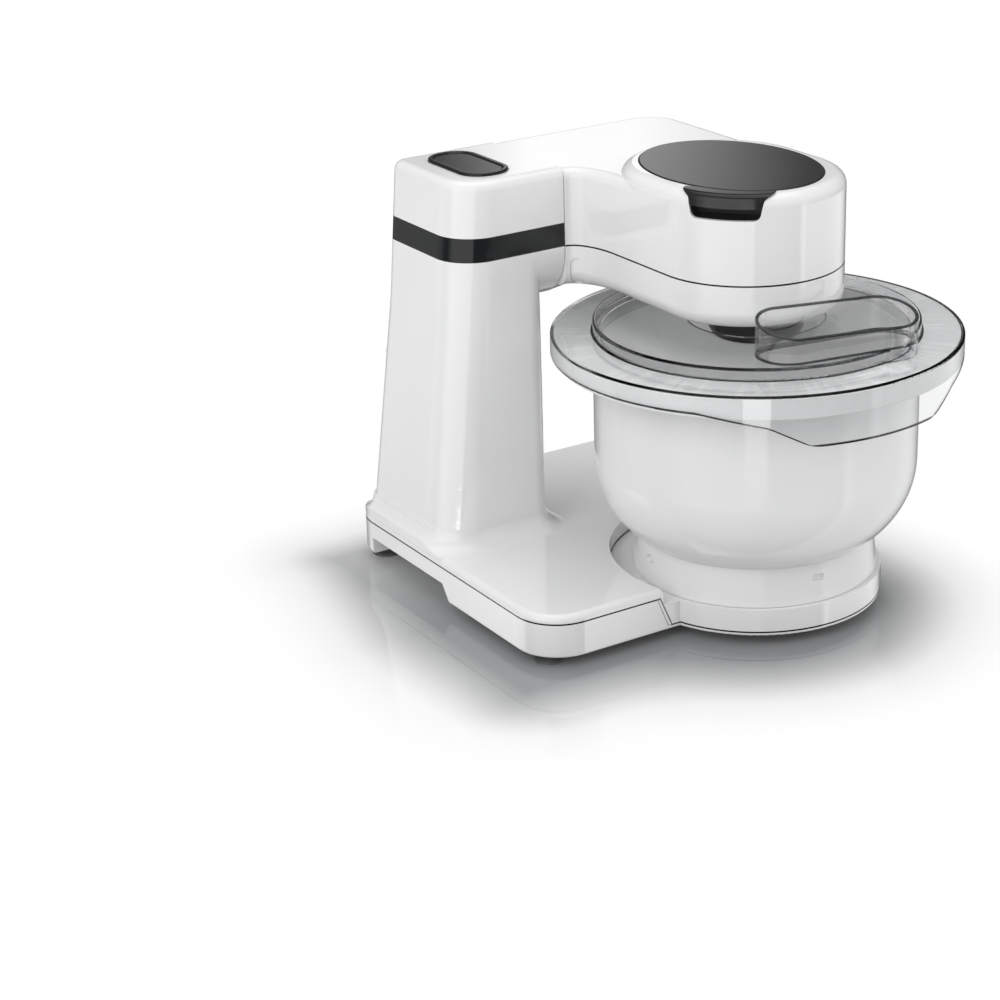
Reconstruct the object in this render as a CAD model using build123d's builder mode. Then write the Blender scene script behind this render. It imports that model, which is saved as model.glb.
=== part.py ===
from build123d import *
import math
import os

os.makedirs("parts", exist_ok=True)

# A compact stand mixer with a plastic bowl and a tilting arm.
# All heights are above the table. Plan sizes are measured from the bowl's axis,
# with X to the right along the base's front edge and Y to the back.

# Clearances
RUN = 0.05  # radial clearance of a shaft in its bearing
FIT = 0.3  # gap between pieces that move past each other
SEAM = 0.5  # hairline between two mouldings
WALL = 2.8  # wall of the housings

# Bowl
BOWL_R = 103.0
BOWL_WALL = 2.8
BOWL_TURN_R = 60.0  # round turn from the wall to the floor
BOWL_TURN_Z = 100.0
BOWL_FLOOR_Z = 50.0
BOWL_FOOT_R = 79.0
BOWL_FOOT_TOP_R = 76.5
RIM_REACH = 24.4  # rim flange outside the bowl's wall
COLLAR_DROP = 13.2
COLLAR_WALL = 2.2
FOOT_SLOT = (9.0, 4.5)
FOOT_SLOT_Z = 41.0
FOOT_SLOT_IN_R = 75.4  # bottom of the blind slots

# Lid
LID_T = 2.0
LID_SKIRT = 12.9
PLATEAU_RISE = 8.0
LID_HOLE_R = 43.0
LID_RIB_DROP = 7.0
LID_SOFT = 0.5  # rounding of the lid's edges
LID_ROUND = 1.4  # rounding of the ring's and the plateau's shoulders
LIP_DROP = 20.0
LIP_AZIMUTH = -92.0
LIP_REACH = 100.0  # half the width over which the skirt deepens
LIP_SHOULDER = 68.0  # half the width between the shoulders
LIP_SHOULDER_DROP = 7.5
LIP_LOW_HALF = 45.0
LIP_CORNER = 24.0
CHUTE_CENTRE = (1.0, -79.0)
CHUTE_LENGTH = 106.0
CHUTE_WIDTH = 40.0
CHUTE_TURN = -10.0
CHUTE_WALL = 2.2
CHUTE_NEAR_RISE = 14.5
CHUTE_FAR_RISE = 23.5

# Base
PLATE_LEFT = -180.0
PLATE_RIGHT = 64.0
PLATE_FRONT = -26.0
PLATE_BACK = 221.0
PLATE_CORNER = 30.0
PLATE_TOP = 35.5
PLATE_EDGE_R = 4.0
BASE_SEAM_Z = 30.0
DISC_R = 82.0
DISC_TOP = 25.0
DISC_SEAM_Z = 10.0
RECESS_R = 94.4
SEAM_STEP = 8.0  # run of the sloped step in the parting line
TRAY_BOTTOM = 7.0
TRAY_EDGE_R = 1.6
GRIP_FRONT = 97.0  # raised stretch of the tray's left edge
GRIP_BACK = 190.0
GRIP_TOP = 18.5
GRIP_DEPTH = 32.0
GRIP_SLOPE = 11.0
FOOT_R = 10.0
FOOT_NECK_R = 6.0
FOOT_DISC_H = 4.5
FEET = ((-163.0, -5.0), (-163.0, 202.0), (52.0, -42.0), (46.0, 202.0))
BASE_SCREWS = ((-128.0, 2.0), (-60.0, 196.0), (20.0, 196.0), (-24.0, 113.0))
SCREW_R = 1.8
SCREW_HEAD_R = 3.6
SCREW_HEAD_H = 2.2
BOSS_R = 4.5

# Column
COLUMN_LEFT = -176.0
COLUMN_RIGHT = -92.0
COLUMN_FRONT = 100.0
COLUMN_BACK = 200.0
COLUMN_TOP_LEFT = -154.5
COLUMN_TOP_RIGHT = -95.0
COLUMN_TOP = 279.0
COLUMN_CORNER = 26.0
COLUMN_BACK_CORNER = 10.0
COLUMN_RIGHT_CORNER = 12.0
COVE_R = 14.0
TOP_EDGE_R = 6.0
STUB_FRONT = 97.0
STUB_BACK = 187.0
STUB_DEPTH = 89.0
STUB_FRONT_CORNER = 36.0
STUB_BACK_CORNER = 20.0
STUB_ROOT = -118.0
BAND_DOWN = 51.0  # from the column's top to the band's lower edge
BAND_W = 15.5
BAND_T = 1.2

# Arm joint
JOINT_X = -79.0
PIVOT_Y = 150.0
PIVOT_DOWN = 54.0  # from the column's top to the pivot
JOURNAL_R = 22.0
JOURNAL_BORE_R = 14.0
JOURNAL_IN = 24.0  # reach into the column
JOURNAL_OUT = 12.0  # reach into the arm
BUSH_WALL = 3.5
BUSH_LENGTH = 14.0
JOINT_WALL = 4.0
RETAINER_T = 3.0

# Arm and head
ARM_X = -3.5
ARM_HALF = 60.5
ARM_BACK = 187.0
ARM_BACK_CORNER = 24.0
NOSE_Y = 5.0
BLEND_LENGTH = 34.0
ARM_DROP = 1.0  # of the arm's top below the column's
ARM_H = 78.0
ARM_BOTTOM_R = 10.0
ARM_SEAM_RISE = 28.0
HEAD_RISE = 6.0
BOWL_HEADROOM = 18.8  # from the bowl's rim to the arm
HEAD_BACK_Y = 36.0  # centre of the raised head's rounded back
HEAD_EDGE_R = 8.0
KEEL_END = -24.0
KEEL_RISE = 13.0
ARM_SCREWS = ((-55.0, 26.0), (48.0, 26.0), (-38.0, 177.0), (40.0, 172.0))
ARM_SCREW_BITE = 19.0

# Drive cover and well
COVER_X = -4.0
COVER_Y = 22.0
COVER_HALF = (51.0, 68.0)
COVER_T = 5.0
COVER_SEAT = 7.0  # ledge that the cover rests on
NOTCH_AZIMUTH = -140.5
NOTCH_WIDTH = 47.0  # at the shoulders
NOTCH_LOW_WIDTH = 42.0
NOTCH_CORNER = 4.5
NOTCH_FLARE = (12.0, 8.0)  # run and rise of the shoulders
NOTCH_SHOULDER = 3.0  # of the shoulders below the head's top
NOTCH_DROP = 15.5
NOTCH_FROM = 43.0  # distance of the notch's inner wall from the middle of the arm's nose
TONGUE_DROP = 8.4  # of the cover's tongue below the head's top
TONGUE_SET_IN = 1.0
WELL_DEPTH = 28.0
WELL_T = 2.0

# Drive train
MODULE = 1.1
SUN_TEETH = 12
PLANET_TEETH = 24
RING_TEETH = 60
BACKLASH = 0.5
GEAR_FACE = 8.0
RING_H = 11.5
RING_WALL = 3.5
CARRIER_R = 30.0
CARRIER_TIP_R = 27.0
CARRIER_TAPER = 6.0
CARRIER_DROP = 20.0  # below the arm
SPINDLE_R = 6.2
SOCKET_R = 4.1
SOCKET_DEPTH = 16.0
SHAFT_R = 4.5
SHAFT_DROP = 10.0  # below the arm
BEARING_R = 9.0
BEARING_H = 6.0
PLATE_H = 7.0  # gearbox plate
PULLEY_R = 36.0
MOTOR_PULLEY_R = 9.0
PULLEY_RISE = 3.0  # over the arm's seam
BELT_W = 9.0
BELT_T = 2.2
COUPLING_R = 15.0
COUPLING_H = 12.0
MOTOR_Y = 132.0
MOTOR_SHAFT_R = 4.0
MOTOR_FRAME_R = 38.0
MOTOR_PLATE_T = 3.0
MOTOR_H = 32.2
STATOR_R = 33.0
STATOR_BORE_R = 20.0
STATOR_H = 22.0
ARMATURE_GAP = 0.6
COMMUTATOR_R = 11.0

# Release button
BUTTON_X = -122.0
BUTTON_Y = 142.5
BUTTON_SIZE = (34.0, 66.0)
BUTTON_CORNER = 16.0
BUTTON_PROUD = 1.7
BUTTON_SKIRT = 11.0
BUTTON_WALL = 2.0
BUTTON_DISH = 0.8
STEM_R = 5.0
STEM_DOWN = 39.0  # from the column's top to the stem's end
BRACKET_DOWN = 23.0
BRACKET_T = 3.0
GUIDE_H = 6.0
SPRING_R = 8.0
SPRING_WIRE = 0.6
SPRING_TURNS = 4

# Speed dial and electrics
DIAL_X = -130.0
DIAL_Z = 140.0
DIAL_R = 22.0
DIAL_H = 15.0
DIAL_SHAFT_R = 3.0
DIAL_SEAT_R = 26.0
DIAL_SEAT_Y = 195.0
SWITCH_SIZE = (36.0, 18.0, 34.0)
BOARD_X = -132.0
BOARD_Y = 48.0
BOARD_SIZE = (60.0, 56.0)
BOARD_T = 1.6
BOARD_Z = 16.0
GLAND_X = -128.0
GLAND_Z = 20.0
GLAND_R = 7.0
GLAND_BORE_R = 3.4
GLAND_FLANGE = 2.0

# Bowl socket
SOCKET_RING_R = 66.0
SOCKET_RING_WALL = 6.0
SOCKET_TOP = 33.5
TAB_R = 71.5
TAB_T = 3.0
TAB_ARC = 16.0
LUG_ARC = 14.0
LUG_COUNT = 4
LUG_AZIMUTH = -6.0

# Upright mark sunk in the arm's lower shell, beside the joint
MARK_X = -72.6
MARK_Y = 93.4
MARK_RISE = 10.4  # over the arm's bottom
MARK_AZIMUTH = -134.0
MARK_SIZE = (18.5, 9.0)
MARK_DEPTH = 1.1

# Values that follow from the driving sizes
ARM_TOP = COLUMN_TOP - ARM_DROP
ARM_BOTTOM = ARM_TOP - ARM_H
ARM_SEAM_Z = ARM_BOTTOM + ARM_SEAM_RISE
HEAD_TOP = ARM_TOP + HEAD_RISE
PIVOT_Z = COLUMN_TOP - PIVOT_DOWN
STUB_BOTTOM = COLUMN_TOP - STUB_DEPTH
BAND_LOW = COLUMN_TOP - BAND_DOWN
BAND_HIGH = BAND_LOW + BAND_W
BRACKET_Z = COLUMN_TOP - BRACKET_DOWN
STEM_LOW = COLUMN_TOP - STEM_DOWN
ARM_SCREW_TOP = ARM_SEAM_Z + ARM_SCREW_BITE
BOWL_RIM_Z = ARM_BOTTOM - BOWL_HEADROOM
PLATEAU_R = BOWL_R
LID_SKIRT_R = BOWL_R + RIM_REACH + FIT + 0.1
LID_R = LID_SKIRT_R + LID_T
LID_UNDER = BOWL_RIM_Z + FIT
LID_TOP = LID_UNDER + LID_T
PLATEAU_TOP = LID_TOP + PLATEAU_RISE
CHUTE_NEAR_Z = PLATEAU_TOP + CHUTE_NEAR_RISE
CHUTE_FAR_Z = PLATEAU_TOP + CHUTE_FAR_RISE
BOWL_X = -(PLATE_LEFT + LID_R) / 2
BOWL_Y = -(PLATE_BACK - LID_R) / 2
BOWL_BOTTOM = DISC_TOP + FIT
COLUMN_JOINT_X = JOINT_X - FIT
ARM_JOINT_X = JOINT_X + FIT
ARM_LEFT = ARM_X - ARM_HALF
ARM_RIGHT = ARM_X + ARM_HALF
RING_PITCH_R = MODULE * RING_TEETH / 2
PLANET_OFFSET = MODULE * (SUN_TEETH + PLANET_TEETH) / 2
ARM_FLOOR = ARM_BOTTOM + WALL
RING_TOP = ARM_FLOOR + RING_H
RING_OUT_R = RING_PITCH_R + 1.25 * MODULE + RING_WALL
GEAR_LOW = ARM_FLOOR + (RING_H - GEAR_FACE) / 2
CARRIER_TOP = GEAR_LOW - FIT
CARRIER_BOTTOM = ARM_BOTTOM - CARRIER_DROP
SHAFT_END = ARM_BOTTOM - SHAFT_DROP
GEARBOX_TOP = RING_TOP + PLATE_H
PULLEY_Z = ARM_SEAM_Z + PULLEY_RISE
PULLEY_TOP = PULLEY_Z + BELT_W + 1.0
COVER_TOP = HEAD_TOP + 0.6
COVER_LOW = COVER_TOP - COVER_T
WELL_TOP = COVER_LOW - FIT
ARM_CEILING = ARM_TOP - WALL
NOTCH_FLOOR = HEAD_TOP - NOTCH_DROP
TONGUE_LOW = HEAD_TOP - TONGUE_DROP
WELL_FLOOR = HEAD_TOP - WELL_DEPTH
TRAY_FLOOR = TRAY_BOTTOM + WALL
MOTOR_LOW_Z = ARM_CEILING - MOTOR_H
MOTOR_HIGH_Z = ARM_CEILING - MOTOR_PLATE_T
# The board keeps clear of the recess's wall
BOARD_NEAR_X = BOARD_X + BOARD_SIZE[0] / 2
RECESS_CLEAR = RECESS_R + SEAM_STEP + 5 * FIT
BOARD_CLEAR_Y = BOARD_SIZE[1] / 2 + math.sqrt(max(0.0, RECESS_CLEAR**2 - BOARD_NEAR_X**2))
BOARD_CENTRE = (BOARD_X, max(BOARD_Y, BOARD_CLEAR_Y))

# Horizontal plane at height z, with its origin on the bowl's axis.
def level(z):
    return Plane((BOWL_X, BOWL_Y, z))


# Upright plane across X, seen from the right: its first axis is Y and its second Z.
def across_x(x):
    return Plane(origin=(BOWL_X + x, BOWL_Y, 0), x_dir=(0, 1, 0), z_dir=(1, 0, 0))


# Upright plane across Y, seen from the front: its first axis is X and its second Z.
def across_y(y):
    return Plane(origin=(BOWL_X, BOWL_Y + y, 0), x_dir=(1, 0, 0), z_dir=(0, -1, 0))


# Upright plane through the bowl's axis, facing out at an azimuth.
def facing_out(azimuth):
    out = (math.cos(math.radians(azimuth)), math.sin(math.radians(azimuth)), 0)
    return Plane(origin=(BOWL_X, BOWL_Y, 0), x_dir=(-out[1], out[0], 0), z_dir=out)


def upright_axis(x, y):
    return Axis((BOWL_X + x, BOWL_Y + y, 0), (0, 0, 1))


BOWL_AXIS = upright_axis(0, 0)
CORNER_IN = 1 - math.sqrt(0.5)  # how far in from a square corner a round one's middle lies, per radius


# A round piece between two heights, added to or cut from the part being built.
def drum(x, y, radius, low, high, mode=Mode.ADD):
    with BuildSketch(level(low)) as plan:
        with Locations((x, y)):
            Circle(radius)
    extrude(plan.sketch, amount=high - low, mode=mode)


# A profile of radius and height pairs, turned about an upright axis.
def turned(points, x=0.0, y=0.0, mode=Mode.ADD):
    with BuildSketch(across_y(y)) as profile:
        with BuildLine():
            Polyline(*[(x + r, z) for r, z in points], close=True)
        make_face()
    revolve(profile.sketch, axis=upright_axis(x, y), mode=mode)


# Plan of the base plate, shrunk by a wall.
def plate_sketch(z, inset=0.0):
    width = PLATE_RIGHT - PLATE_LEFT - 2 * inset
    depth = PLATE_BACK - PLATE_FRONT - 2 * inset
    with BuildSketch(level(z)) as plan:
        with Locations(((PLATE_LEFT + PLATE_RIGHT) / 2, (PLATE_FRONT + PLATE_BACK) / 2)):
            RectangleRounded(width, depth, PLATE_CORNER - inset)
    return plan.sketch


# Plan of the column at a height, shrunk by a wall. The lower part leans in and the top stands straight.
def column_sketch(z, inset=0.0):
    lean = min(1.0, (z - PLATE_TOP) / (COLUMN_TOP - PLATE_TOP))
    low_lean = min(1.0, (z - PLATE_TOP) / (STUB_BOTTOM - PLATE_TOP))
    left = COLUMN_LEFT + lean * (COLUMN_TOP_LEFT - COLUMN_LEFT) + inset
    right = COLUMN_RIGHT + lean * (COLUMN_TOP_RIGHT - COLUMN_RIGHT) - inset
    front = COLUMN_FRONT + low_lean * (STUB_FRONT - COLUMN_FRONT) + inset
    back = COLUMN_BACK + low_lean * (STUB_BACK - COLUMN_BACK) - inset
    with BuildSketch(level(z)) as plan:
        with BuildLine():
            FilletPolyline(
                (left, front),
                (right, front),
                (right, back),
                (left, back),
                radius=[
                    COLUMN_CORNER - inset,
                    COLUMN_RIGHT_CORNER - inset,
                    COLUMN_RIGHT_CORNER - inset,
                    COLUMN_BACK_CORNER - inset,
                ],
                close=True,
            )
        make_face()
    return plan.sketch


# Section of the stub at the arm's joint, with round lower corners.
def stub_sketch(x, bottom, top, front_corner, back_corner, inset=0.0):
    low = bottom + inset
    front = STUB_FRONT + inset
    back = STUB_BACK - inset
    round_front = front_corner - inset
    round_back = back_corner - inset
    with BuildSketch(across_x(x)) as section:
        with BuildLine():
            Line((front, top), (front, low + round_front))
            front_middle = (front + CORNER_IN * round_front, low + CORNER_IN * round_front)
            ThreePointArc((front, low + round_front), front_middle, (front + round_front, low))
            Line((front + round_front, low), (back - round_back, low))
            back_middle = (back - CORNER_IN * round_back, low + CORNER_IN * round_back)
            ThreePointArc((back - round_back, low), back_middle, (back, low + round_back))
            Line((back, low + round_back), (back, top))
            Line((back, top), (front, top))
        make_face()
    return section.sketch


# Plan of the arm: round nose, straight sides, and a hollow blend to the stub at the joint.
def arm_sketch(z, inset=0.0):
    left = ARM_LEFT + inset
    right = ARM_RIGHT - inset
    back = ARM_BACK - inset
    corner = ARM_BACK_CORNER - inset
    blend_y = STUB_FRONT - BLEND_LENGTH
    with BuildSketch(level(z)) as plan:
        with BuildLine():
            ThreePointArc((right, NOSE_Y), (ARM_X, NOSE_Y - ARM_HALF + inset), (left, NOSE_Y))
            Line((left, NOSE_Y), (left, blend_y))
            EllipticalCenterArc(
                (ARM_JOINT_X, blend_y), left - ARM_JOINT_X, BLEND_LENGTH + inset, start_angle=0, arc_size=90
            )
            Line((ARM_JOINT_X, STUB_FRONT + inset), (ARM_JOINT_X, back))
            Line((ARM_JOINT_X, back), (right - corner, back))
            corner_middle = (right - CORNER_IN * corner, back - CORNER_IN * corner)
            ThreePointArc((right - corner, back), corner_middle, (right, back - corner))
            Line((right, back - corner), (right, NOSE_Y))
        make_face()
    return plan.sketch


# Plan of the raised head, a rounded oblong with the arm's own nose.
def head_sketch(z, inset=0.0):
    left = ARM_LEFT + inset
    right = ARM_RIGHT - inset
    reach = ARM_HALF - inset
    with BuildSketch(level(z)) as plan:
        with BuildLine():
            ThreePointArc((right, NOSE_Y), (ARM_X, NOSE_Y - reach), (left, NOSE_Y))
            Line((left, NOSE_Y), (left, HEAD_BACK_Y))
            ThreePointArc((left, HEAD_BACK_Y), (ARM_X, HEAD_BACK_Y + reach), (right, HEAD_BACK_Y))
            Line((right, HEAD_BACK_Y), (right, NOSE_Y))
        make_face()
    return plan.sketch


def cover_sketch(z, inset=0.0):
    with BuildSketch(level(z)) as plan:
        with Locations((COVER_X, COVER_Y)):
            Ellipse(COVER_HALF[0] - inset, COVER_HALF[1] - inset)
    return plan.sketch


# Block along the finger notch, from a distance in front of the nose's middle out through the head's side.
# Its section has round lower corners and shoulders that flare out at the head's top.
def notch_block(start, floor, inset=0.0, mode=Mode.ADD):
    out = (math.cos(math.radians(NOTCH_AZIMUTH)), math.sin(math.radians(NOTCH_AZIMUTH)), 0)
    low = NOTCH_LOW_WIDTH / 2 - inset
    half = NOTCH_WIDTH / 2 - inset
    wide = half + NOTCH_FLARE[0]
    shoulder = HEAD_TOP - NOTCH_SHOULDER
    top = shoulder + NOTCH_FLARE[1]
    plane = Plane(
        origin=(BOWL_X + ARM_X + start * out[0], BOWL_Y + NOSE_Y + start * out[1], 0),
        x_dir=(-out[1], out[0], 0),
        z_dir=out,
    )
    with BuildSketch(plane) as section:
        with BuildLine():
            FilletPolyline(
                (-wide, top),
                (-half, shoulder),
                (-low, floor),
                (low, floor),
                (half, shoulder),
                (wide, top),
                radius=NOTCH_CORNER,
            )
            Line((wide, top), (-wide, top))
        make_face()
    extrude(section.sketch, amount=ARM_HALF, mode=mode)


# Outline of a spur gear with straight-sided teeth, the first one pointing along X when turn is 0.
# An inner gear's teeth point inwards, so its outline is the space inside them.
def gear_outline(teeth, turn=0.0, inner=False):
    pitch_r = MODULE * teeth / 2
    half_tooth = (math.pi * MODULE / 2 - BACKLASH) / 2
    slant = math.tan(math.radians(20))
    sign = -1 if inner else 1
    tip_r = pitch_r + sign * 0.9 * MODULE
    root_r = pitch_r - sign * 1.25 * MODULE
    tip_half = half_tooth - 0.9 * MODULE * slant
    root_half = half_tooth + 1.25 * MODULE * slant
    points = []
    for count in range(teeth):
        middle = math.radians(turn) + 2 * math.pi * count / teeth
        for radius, offset in ((root_r, -root_half), (tip_r, -tip_half), (tip_r, tip_half), (root_r, root_half)):
            angle = middle + offset / radius
            points.append((radius * math.cos(angle), radius * math.sin(angle)))
    return points


def gear_solid(points, x, y, low, high, mode=Mode.ADD):
    with BuildSketch(level(low)) as plan:
        with BuildLine():
            Polyline(*[(x + px, y + py) for px, py in points], close=True)
        make_face()
    extrude(plan.sketch, amount=high - low, mode=mode)


# Screw from below: a dished head and a plain shank.
def screw(x, y, seat, high):
    drum(x, y, SCREW_HEAD_R, seat - SCREW_HEAD_H, seat)
    drum(x, y, SCREW_R, seat, high)


# The base, from the floor up

# Column and stub as one outer form, then the same form shrunk by the wall
with BuildPart() as column_form:
    loft([column_sketch(BASE_SEAM_Z), column_sketch(STUB_BOTTOM), column_sketch(COLUMN_TOP)], ruled=True)
    extrude(
        stub_sketch(STUB_ROOT, STUB_BOTTOM, COLUMN_TOP, STUB_FRONT_CORNER, STUB_BACK_CORNER),
        amount=COLUMN_JOINT_X - STUB_ROOT,
    )
    top_edges = column_form.faces().sort_by(Axis.Z)[-1].edges()
    fillet(top_edges.sort_by(Axis.X)[:-1], TOP_EDGE_R)

with BuildPart() as column_cavity:
    loft(
        [
            column_sketch(BASE_SEAM_Z - PLATE_EDGE_R, WALL),
            column_sketch(STUB_BOTTOM, WALL),
            column_sketch(COLUMN_TOP - WALL, WALL),
        ],
        ruled=True,
    )
    extrude(
        stub_sketch(
            STUB_ROOT, STUB_BOTTOM, COLUMN_TOP - WALL, STUB_FRONT_CORNER, STUB_BACK_CORNER, inset=WALL
        ),
        amount=COLUMN_JOINT_X - JOINT_WALL - STUB_ROOT,
    )

# Black band let into the column, open at the joint
with BuildPart() as band_trim:
    add(column_form.part)
    with BuildSketch(level(BAND_LOW)):
        Rectangle(2 * PLATE_BACK, 2 * PLATE_BACK)
    extrude(amount=BAND_HIGH - BAND_LOW, mode=Mode.INTERSECT)
    loft(
        [column_sketch(STUB_BOTTOM, BAND_T), column_sketch(COLUMN_TOP, BAND_T)],
        ruled=True,
        mode=Mode.SUBTRACT,
    )
    extrude(
        stub_sketch(
            STUB_ROOT, STUB_BOTTOM, COLUMN_TOP, STUB_FRONT_CORNER, STUB_BACK_CORNER, inset=BAND_T
        ),
        amount=COLUMN_JOINT_X - STUB_ROOT,
        mode=Mode.SUBTRACT,
    )
band_trim.part.label = "band_trim"
export_step(band_trim.part, "parts/band_trim.step")

# Cone that carries the parting line down from the plate to the disc
with BuildPart() as step_cone:
    turned(
        [
            (0, DISC_SEAM_Z),
            (RECESS_R - SEAM_STEP / 2, DISC_SEAM_Z),
            (RECESS_R + SEAM_STEP / 2, BASE_SEAM_Z),
            (0, BASE_SEAM_Z),
        ]
    )

# Cove where the column meets the plate, cut off at the plate's edge
with BuildPart() as cove:
    foot_path = column_sketch(PLATE_TOP).faces()[0].outer_wire()
    along = foot_path % 0
    cove_plane = Plane(foot_path @ 0, x_dir=along.cross(Vector(0, 0, 1)), z_dir=-along)
    with BuildSketch(cove_plane):
        with BuildLine():
            Polyline((COVE_R, 0), (COVE_R, -WALL / 2), (-WALL / 2, -WALL / 2), (-WALL / 2, COVE_R), (0, COVE_R))
            ThreePointArc((0, COVE_R), (CORNER_IN * COVE_R, CORNER_IN * COVE_R), (COVE_R, 0))
        make_face()
    sweep(path=foot_path)
    extrude(plate_sketch(BASE_SEAM_Z), amount=COVE_R * 2, mode=Mode.INTERSECT)

# Platform of the bowl: the step of the parting line, the recess wall and the disc in front of the plate
with BuildPart() as platform:
    add(step_cone.part)
    drum(0, 0, RECESS_R + WALL, BASE_SEAM_Z, PLATE_TOP - WALL)
    extrude(plate_sketch(DISC_SEAM_Z), amount=PLATE_TOP, mode=Mode.INTERSECT)
    drum(0, 0, DISC_R, DISC_SEAM_Z, DISC_TOP)

# Hollow under the platform, open below
with BuildPart() as under_platform:
    drum(0, 0, RECESS_R - SEAM_STEP / 2 - WALL, DISC_SEAM_Z, DISC_TOP - WALL)
    extrude(plate_sketch(DISC_SEAM_Z, WALL), amount=DISC_TOP, mode=Mode.INTERSECT)
    drum(0, 0, DISC_R - WALL, DISC_SEAM_Z, DISC_TOP - WALL)

# Base cover and column in one moulding
with BuildPart() as body_shell:
    extrude(plate_sketch(BASE_SEAM_Z), amount=PLATE_TOP - BASE_SEAM_Z)
    fillet(body_shell.faces().sort_by(Axis.Z)[-1].edges(), PLATE_EDGE_R)
    extrude(plate_sketch(BASE_SEAM_Z, WALL), amount=PLATE_TOP - WALL - BASE_SEAM_Z, mode=Mode.SUBTRACT)
    add(column_form.part)
    add(cove.part)
    add(platform.part)
    drum(0, 0, RECESS_R, DISC_TOP, PLATE_TOP + COVE_R, mode=Mode.SUBTRACT)
    add(under_platform.part, mode=Mode.SUBTRACT)
    add(column_cavity.part, mode=Mode.SUBTRACT)
    add(band_trim.part, mode=Mode.SUBTRACT)
    # Seat of the speed dial on the back
    with BuildSketch(across_y(DIAL_SEAT_Y)):
        with Locations((DIAL_X, DIAL_Z)):
            Circle(DIAL_SEAT_R)
    extrude(amount=DIAL_SEAT_Y - STUB_BACK + WALL)
    with BuildSketch(across_y(DIAL_SEAT_Y)):
        with Locations((DIAL_X, DIAL_Z)):
            Circle(DIAL_SHAFT_R + FIT)
    extrude(amount=DIAL_SEAT_Y - STUB_BACK + 3 * WALL, mode=Mode.SUBTRACT)
    # Openings for the release button and the arm's pivot
    with BuildSketch(level(COLUMN_TOP - 2 * WALL)):
        with Locations((BUTTON_X, BUTTON_Y)):
            RectangleRounded(BUTTON_SIZE[0] + 2 * FIT, BUTTON_SIZE[1] + 2 * FIT, BUTTON_CORNER + FIT)
    extrude(amount=4 * WALL, mode=Mode.SUBTRACT)
    with BuildSketch(across_x(COLUMN_JOINT_X - JOINT_WALL)):
        with Locations((PIVOT_Y, PIVOT_Z)):
            Circle(JOURNAL_R + RUN + BUSH_WALL)
    extrude(amount=JOINT_WALL, mode=Mode.SUBTRACT)
    # Screw bosses
    for x, y in BASE_SCREWS:
        drum(x, y, BOSS_R, TRAY_FLOOR, PLATE_TOP - WALL)
    for x, y in BASE_SCREWS:
        drum(x, y, SCREW_R, TRAY_FLOOR, PLATE_TOP - 2 * WALL, mode=Mode.SUBTRACT)
body_shell.part.label = "body_shell"
export_step(body_shell.part, "parts/body_shell.step")

# Room inside the tray, with a raised floor over the grip
with BuildPart() as tray_room:
    extrude(plate_sketch(TRAY_FLOOR, WALL), amount=BASE_SEAM_Z - TRAY_FLOOR)
    with BuildSketch(level(TRAY_FLOOR)):
        with Locations((PLATE_LEFT, (GRIP_FRONT + GRIP_BACK) / 2)):
            Rectangle(2 * (GRIP_DEPTH + WALL), GRIP_BACK - GRIP_FRONT + 2 * (GRIP_SLOPE + WALL))
    extrude(amount=GRIP_TOP + WALL - TRAY_FLOOR, mode=Mode.SUBTRACT)
    drum(0, 0, RECESS_R + SEAM_STEP, TRAY_FLOOR, BASE_SEAM_Z, mode=Mode.SUBTRACT)

# Lower tray under the parting line
with BuildPart() as base_tray:
    extrude(plate_sketch(TRAY_BOTTOM), amount=BASE_SEAM_Z - SEAM - TRAY_BOTTOM)
    drum(0, 0, DISC_R, TRAY_BOTTOM, DISC_SEAM_Z - SEAM)
    fillet(base_tray.faces().sort_by(Axis.Z)[0].edges(), TRAY_EDGE_R)
    # Room for the platform above, with the sloped step of the parting line
    turned(
        [
            (0, DISC_SEAM_Z - SEAM),
            (RECESS_R - SEAM_STEP / 2 + SEAM, DISC_SEAM_Z - SEAM),
            (RECESS_R + SEAM_STEP / 2 + SEAM, BASE_SEAM_Z),
            (0, BASE_SEAM_Z),
        ],
        mode=Mode.SUBTRACT,
    )
    add(tray_room.part, mode=Mode.SUBTRACT)
    # Raised grip along the left edge
    with BuildSketch(across_x(PLATE_LEFT - WALL)):
        with BuildLine():
            Polyline(
                (GRIP_FRONT - GRIP_SLOPE, TRAY_BOTTOM - WALL),
                (GRIP_FRONT, GRIP_TOP),
                (GRIP_BACK, GRIP_TOP),
                (GRIP_BACK, TRAY_BOTTOM - WALL),
                close=True,
            )
        make_face()
    extrude(amount=GRIP_DEPTH, mode=Mode.SUBTRACT)
    # Posts of the control board
    for sx in (-1, 1):
        for sy in (-1, 1):
            x = BOARD_CENTRE[0] + sx * (BOARD_SIZE[0] / 2 - BOSS_R)
            y = BOARD_CENTRE[1] + sy * (BOARD_SIZE[1] / 2 - BOSS_R)
            drum(x, y, BOSS_R - 1, TRAY_BOTTOM + WALL / 2, BOARD_Z)
    for x, y in FEET:
        drum(x, y, FOOT_NECK_R, TRAY_BOTTOM - WALL, TRAY_BOTTOM + WALL / 2, mode=Mode.SUBTRACT)
    for x, y in BASE_SCREWS:
        drum(x, y, SCREW_R + RUN, TRAY_BOTTOM - WALL, TRAY_FLOOR, mode=Mode.SUBTRACT)
    for x, y in BASE_SCREWS:
        drum(x, y, SCREW_HEAD_R, TRAY_BOTTOM - WALL, TRAY_BOTTOM + WALL / 3, mode=Mode.SUBTRACT)
    # Hole of the cord gland in the back wall
    with BuildSketch(across_y(PLATE_BACK + WALL)):
        with Locations((GLAND_X, GLAND_Z)):
            Circle(GLAND_R)
    extrude(amount=3 * WALL, mode=Mode.SUBTRACT)
base_tray.part.label = "base_tray"
export_step(base_tray.part, "parts/base_tray.step")

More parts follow.
